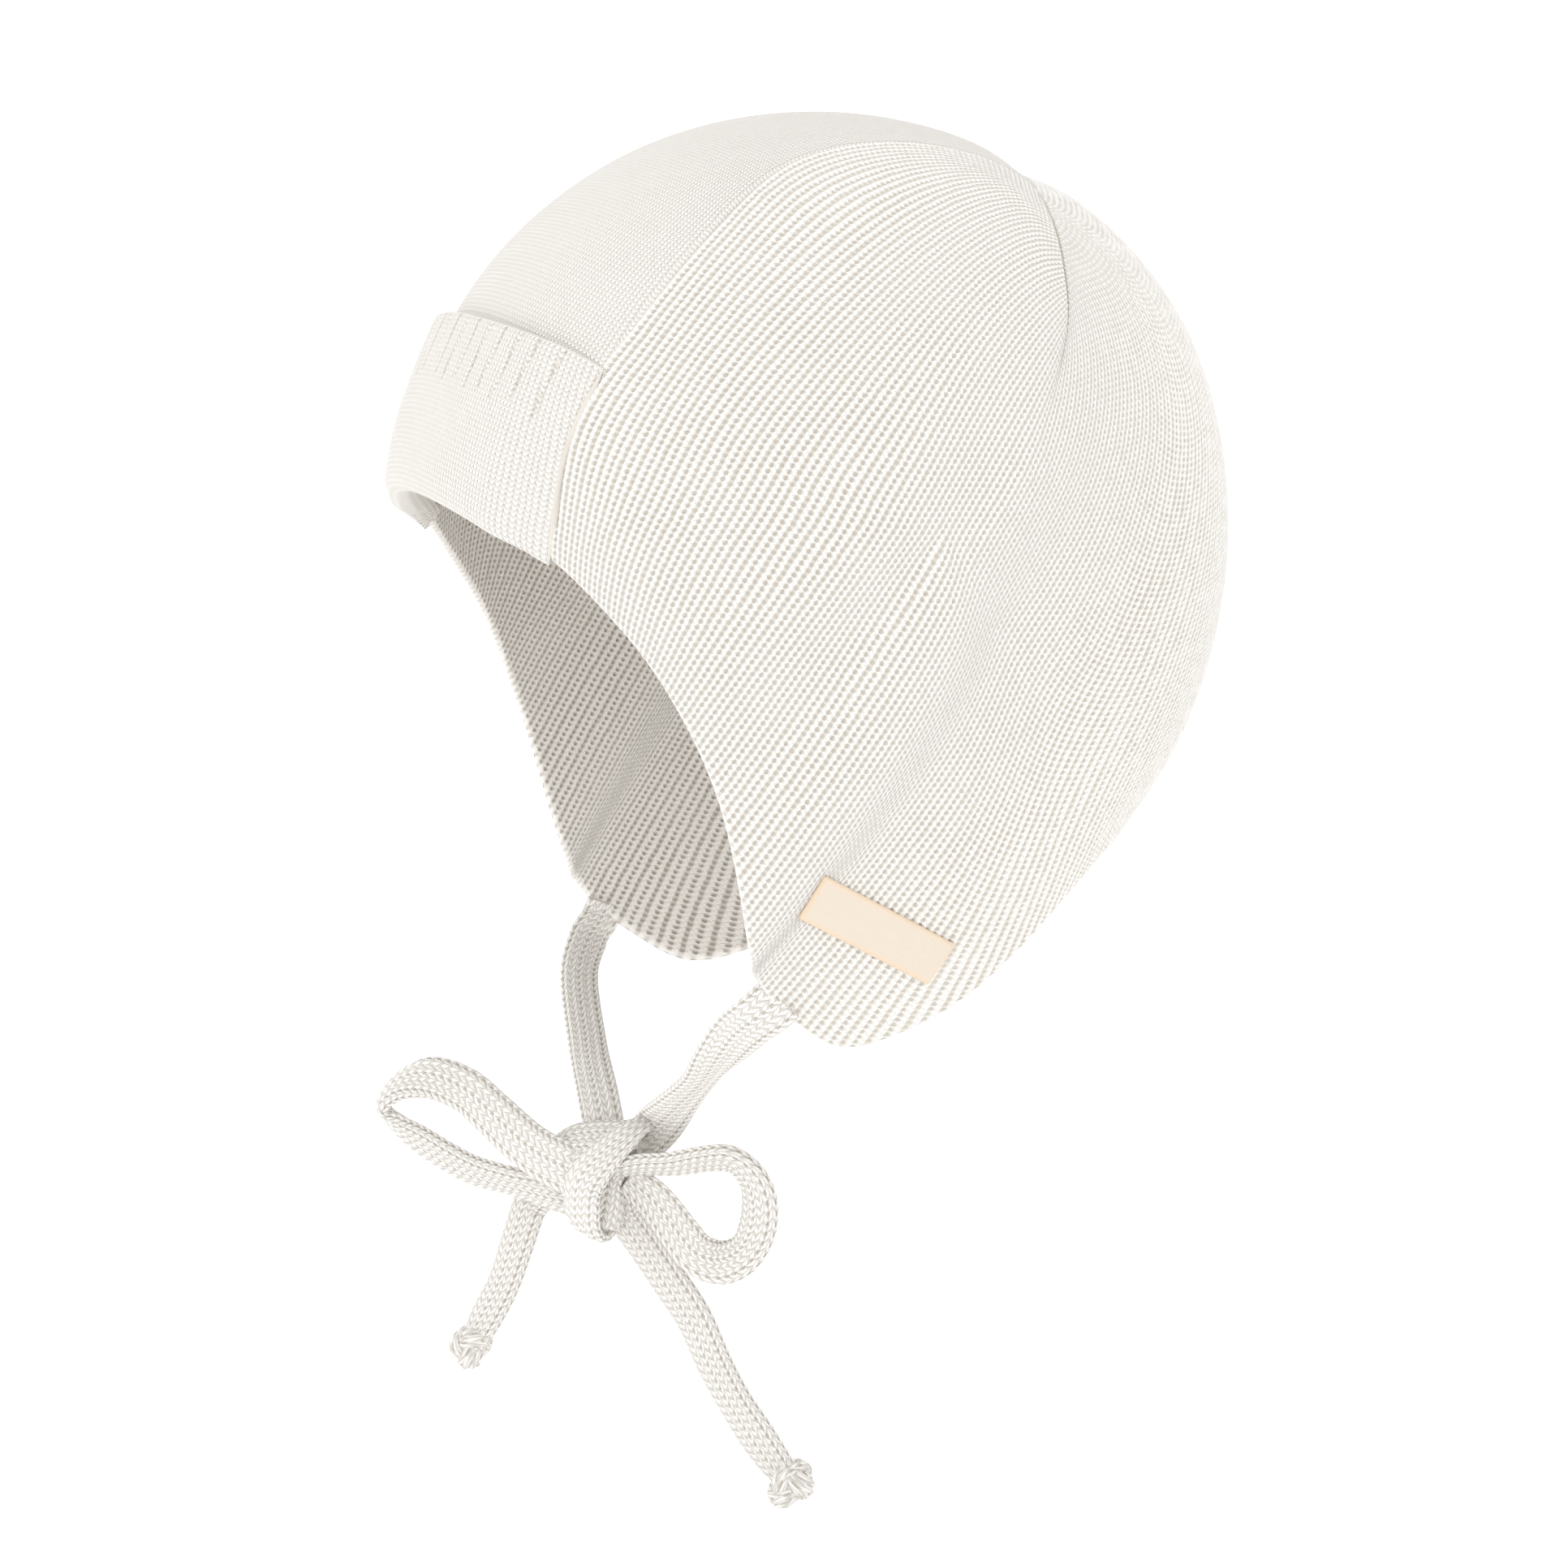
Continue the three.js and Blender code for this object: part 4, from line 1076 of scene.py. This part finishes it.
def bow_place(along, up, out):
    """A point given along the bow, up and out of its face, round the middle of its knot."""
    along, up, out = (np.asarray(value, float)[..., None] for value in (along, up, out))
    return BOW_KNOT + along * BOW_WAY + up * np.array([0, 0, 1.0]) + out * BOW_FACE


class BONNET_OT_ties(bpy.types.Operator):
    """Builds the two leads, the loops and the hanging tails of the ties"""
    bl_idname = "bonnet.ties"
    bl_label = "Ties"

    def execute(self, context):
        sizes = context.scene.bonnet_sizes
        material = tie_knit(context.scene.bonnet_colours)
        relief = sizes.stitch_relief / MM
        for name, rows in TIE_ROUTES.items():
            route = tie_route(rows, TIE_SPREAD[name])
            width = sizes.tie_width / MM - 0.4 * relief
            tube = tie_rings(route, width, sizes.tie_thickness / MM, relief)
            piece = tube_piece(name.replace("tie_", "knit_").replace("bow_", "knit_"), tube)
            finish_piece(piece, material, name)
        return {"FINISHED"}


class BONNET_OT_bow_knot(bpy.types.Operator):
    """Builds the knot of the bow: the tie wrapped over its own folds"""
    bl_idname = "bonnet.bow_knot"
    bl_label = "Bow knot"

    def execute(self, context):
        sizes = context.scene.bonnet_sizes
        tubes = []
        for rows, middle, thickness in ((KNOT_WRAP, KNOT_WRAP_MIDDLE, KNOT_THICKNESS),
                                        (KNOT_FOLD, KNOT_FOLD_MIDDLE, KNOT_THICKNESS),
                                        (KNOT_CORE, None, KNOT_CORE_THICKNESS)):
            along, up, out, spread = np.array(rows, float).T
            line = np.column_stack([bow_place(along, up, out), np.zeros(len(rows))])
            around = None if middle is None else bow_place(*middle)
            route = tie_route(line, spread, around=around, spacing=0.3)
            tubes.append(tie_rings(route, sizes.tie_width / MM, thickness,
                                   sizes.stitch_relief / MM))
        piece = tube_piece("knot_of_the_bow", *tubes)
        finish_piece(piece, tie_knit(context.scene.bonnet_colours), "bow_knot")
        return {"FINISHED"}


class BONNET_OT_end_knots(bpy.types.Operator):
    """Builds the overhand knots that close the two tails"""
    bl_idname = "bonnet.end_knots"
    bl_label = "End knots"

    def execute(self, context):
        sizes = context.scene.bonnet_sizes
        colours = context.scene.bonnet_colours
        for side, half in END_KNOTS.items():
            rows = np.array(TIE_ROUTES["tie_tail_" + side], float)[-2:, :3]
            way = rows[1] - rows[0]
            way /= np.linalg.norm(way)
            across = np.cross(BOW_FACE, way)
            across /= np.linalg.norm(across)
            out = np.cross(way, across)
            turn = np.linspace(0, 2 * np.pi, 37)[:-1] + 0.5
            # A tight overhand knot is a trefoil: three lobes, each passing over the next
            lobes = np.stack([np.sin(turn) + 2 * np.sin(2 * turn),
                              np.cos(turn) - 2 * np.cos(2 * turn), -1.1 * np.sin(3 * turn)], -1)
            size = (np.array(half) - KNOT_YARN) / np.array(TREFOIL_REACH)
            points = rows[1] + (lobes * size) @ np.stack([way, across, out])
            line = np.column_stack([points, np.zeros(len(points))])
            route = tie_route(line, np.ones(len(line)), True, rows[1] - 0.01 * out, 0.3)
            tube = tie_rings(route, 2 * KNOT_YARN, 1.7 * KNOT_YARN, sizes.stitch_relief / MM,
                             40, True)
            piece = tube_piece("knot_of_%s_tail" % side, tube)
            finish_piece(piece, tie_knit(colours), "end_knot_" + side)
        return {"FINISHED"}


# Stage
class BONNET_OT_stage(bpy.types.Operator):
    """Sets up the camera, the soft studio light and the pale floor"""
    bl_idname = "bonnet.stage"
    bl_label = "Stage"

    def execute(self, context):
        set_camera()
        set_lights()
        set_floor(context.scene.bonnet_colours)
        return {"FINISHED"}


def set_camera():
    """The photograph's camera: it looks at the bonnet's left front from a little above."""
    level = np.cos(VIEW_RISE)
    back = np.array([np.sin(VIEW_TURN) * level, -np.cos(VIEW_TURN) * level, np.sin(VIEW_RISE)])
    right = np.array([np.cos(VIEW_TURN), np.sin(VIEW_TURN), 0.0])
    up = np.cross(back, right)
    target = VIEW_MIDDLE[0] * right + VIEW_MIDDLE[1] * up
    place = placed(target + VIEW_DISTANCE * back)
    data = bpy.data.cameras.new("photo_camera")
    data.lens = LENS
    data.sensor_width = SENSOR_WIDTH
    data.clip_start = 0.05
    data.clip_end = 20.0
    camera = bpy.data.objects.new("photo_camera", data)
    turn = np.eye(4)
    turn[:3, 0], turn[:3, 1], turn[:3, 2], turn[:3, 3] = right, up, back, place
    bpy.context.scene.collection.objects.link(camera)
    camera.matrix_world = Matrix(turn.tolist())
    bpy.context.scene.camera = camera


def softbox(name, place, energy, size, colour):
    """A round area light that faces the middle of the bonnet."""
    data = bpy.data.lights.new(name, "AREA")
    data.energy = energy
    data.color = colour
    data.shape = "DISK"
    data.size = size
    light = bpy.data.objects.new(name, data)
    bpy.context.scene.collection.objects.link(light)
    light.location = place
    way = Vector(LIT_MIDDLE) - Vector(place)
    light.rotation_euler = way.to_track_quat("-Z", "Y").to_euler()


def set_lights():
    """Large soft lights, and white air round the bonnet."""
    for light in SOFTBOXES:
        softbox(*light)
    world = bpy.context.scene.world or bpy.data.worlds.new("studio_air")
    bpy.context.scene.world = world
    world.use_nodes = True
    shade = world.node_tree.nodes["Background"]
    shade.inputs["Color"].default_value = (1.0, 1.0, 1.0, 1.0)
    shade.inputs["Strength"].default_value = AIR_STRENGTH
    bpy.context.scene.view_settings.view_transform = "Standard"


def set_floor(colours):
    """A wide floor that curves up into a far backdrop, turned to face the camera: flat,
    then a quarter of a circle, then a wall. In metres."""
    bend = np.linspace(0, np.pi / 2, 17)[1:]
    reach = np.concatenate([np.linspace(-FLOOR_HALF, FLOOR_DEPTH, 24),
                            FLOOR_DEPTH + FLOOR_BEND * np.sin(bend),
                            np.full(6, FLOOR_DEPTH + FLOOR_BEND)])
    rise = np.concatenate([np.zeros(24), FLOOR_BEND - FLOOR_BEND * np.cos(bend),
                           np.linspace(1.5, 4, 6)])
    side = np.linspace(-FLOOR_HALF, FLOOR_HALF, 25)
    ahead = np.array([-np.sin(VIEW_TURN), np.cos(VIEW_TURN)])
    right = np.array([np.cos(VIEW_TURN), np.sin(VIEW_TURN)])
    floor = floor_height()
    grid = np.zeros((len(side), len(reach), 3))
    grid[..., :2] = side[:, None, None] * right + reach[None, :, None] * ahead
    grid[..., 2] = floor + rise[None]
    quads, _, _ = grid_quads(len(side), len(reach))
    points = grid.reshape(-1, 3) / MM - (0, 0, RISE)
    uv = grid.reshape(-1, 3)[:, :2]
    piece = mesh_piece("studio_floor", points, quads, uv[quads])
    piece.data.materials.append(plain_backdrop(colours))


def floor_height():
    """Height of the floor: a little under the longer tie's knot."""
    return float(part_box("end_knot_right")[0][2]) - FLOOR_GAP


class BONNET_PT_panel(bpy.types.Panel):
    """Lists the bonnet's operators and settings"""
    bl_idname = "BONNET_PT_panel"
    bl_label = "Bonnet"
    bl_space_type = "VIEW_3D"
    bl_region_type = "UI"
    bl_category = "Bonnet"

    def draw(self, context):
        for settings in (context.scene.bonnet_sizes, context.scene.bonnet_colours):
            box = self.layout.box()
            for key in settings.bl_rna.properties.keys():
                if key not in ("rna_type", "name"):
                    box.prop(settings, key)
        for operator in OPERATORS:
            self.layout.operator(operator.bl_idname)


OPERATORS = (BONNET_OT_stage, BONNET_OT_bow_knot, BONNET_OT_end_knots, BONNET_OT_ties,
             BONNET_OT_rib_cap, BONNET_OT_front_panel, BONNET_OT_front_cuff,
             BONNET_OT_side_label)
CLASSES = (BonnetSizes, BonnetColours, *OPERATORS, BONNET_PT_panel)


def register():
    for one in CLASSES:
        bpy.utils.register_class(one)
    bpy.types.Scene.bonnet_sizes = bpy.props.PointerProperty(type=BonnetSizes)
    bpy.types.Scene.bonnet_colours = bpy.props.PointerProperty(type=BonnetColours)


def unregister():
    del bpy.types.Scene.bonnet_colours
    del bpy.types.Scene.bonnet_sizes
    for one in reversed(CLASSES):
        bpy.utils.unregister_class(one)


def main():
    """Builds everything in order and keeps the size of the solids and of the knit."""
    register()
    bpy.ops.bonnet.stage()
    bpy.ops.bonnet.bow_knot()
    bpy.ops.bonnet.end_knots()
    bpy.ops.bonnet.ties()
    bpy.ops.bonnet.rib_cap()
    bpy.ops.bonnet.front_panel()
    bpy.ops.bonnet.front_cuff()
    bpy.ops.bonnet.side_label()


if __name__ == "__main__":
    main()
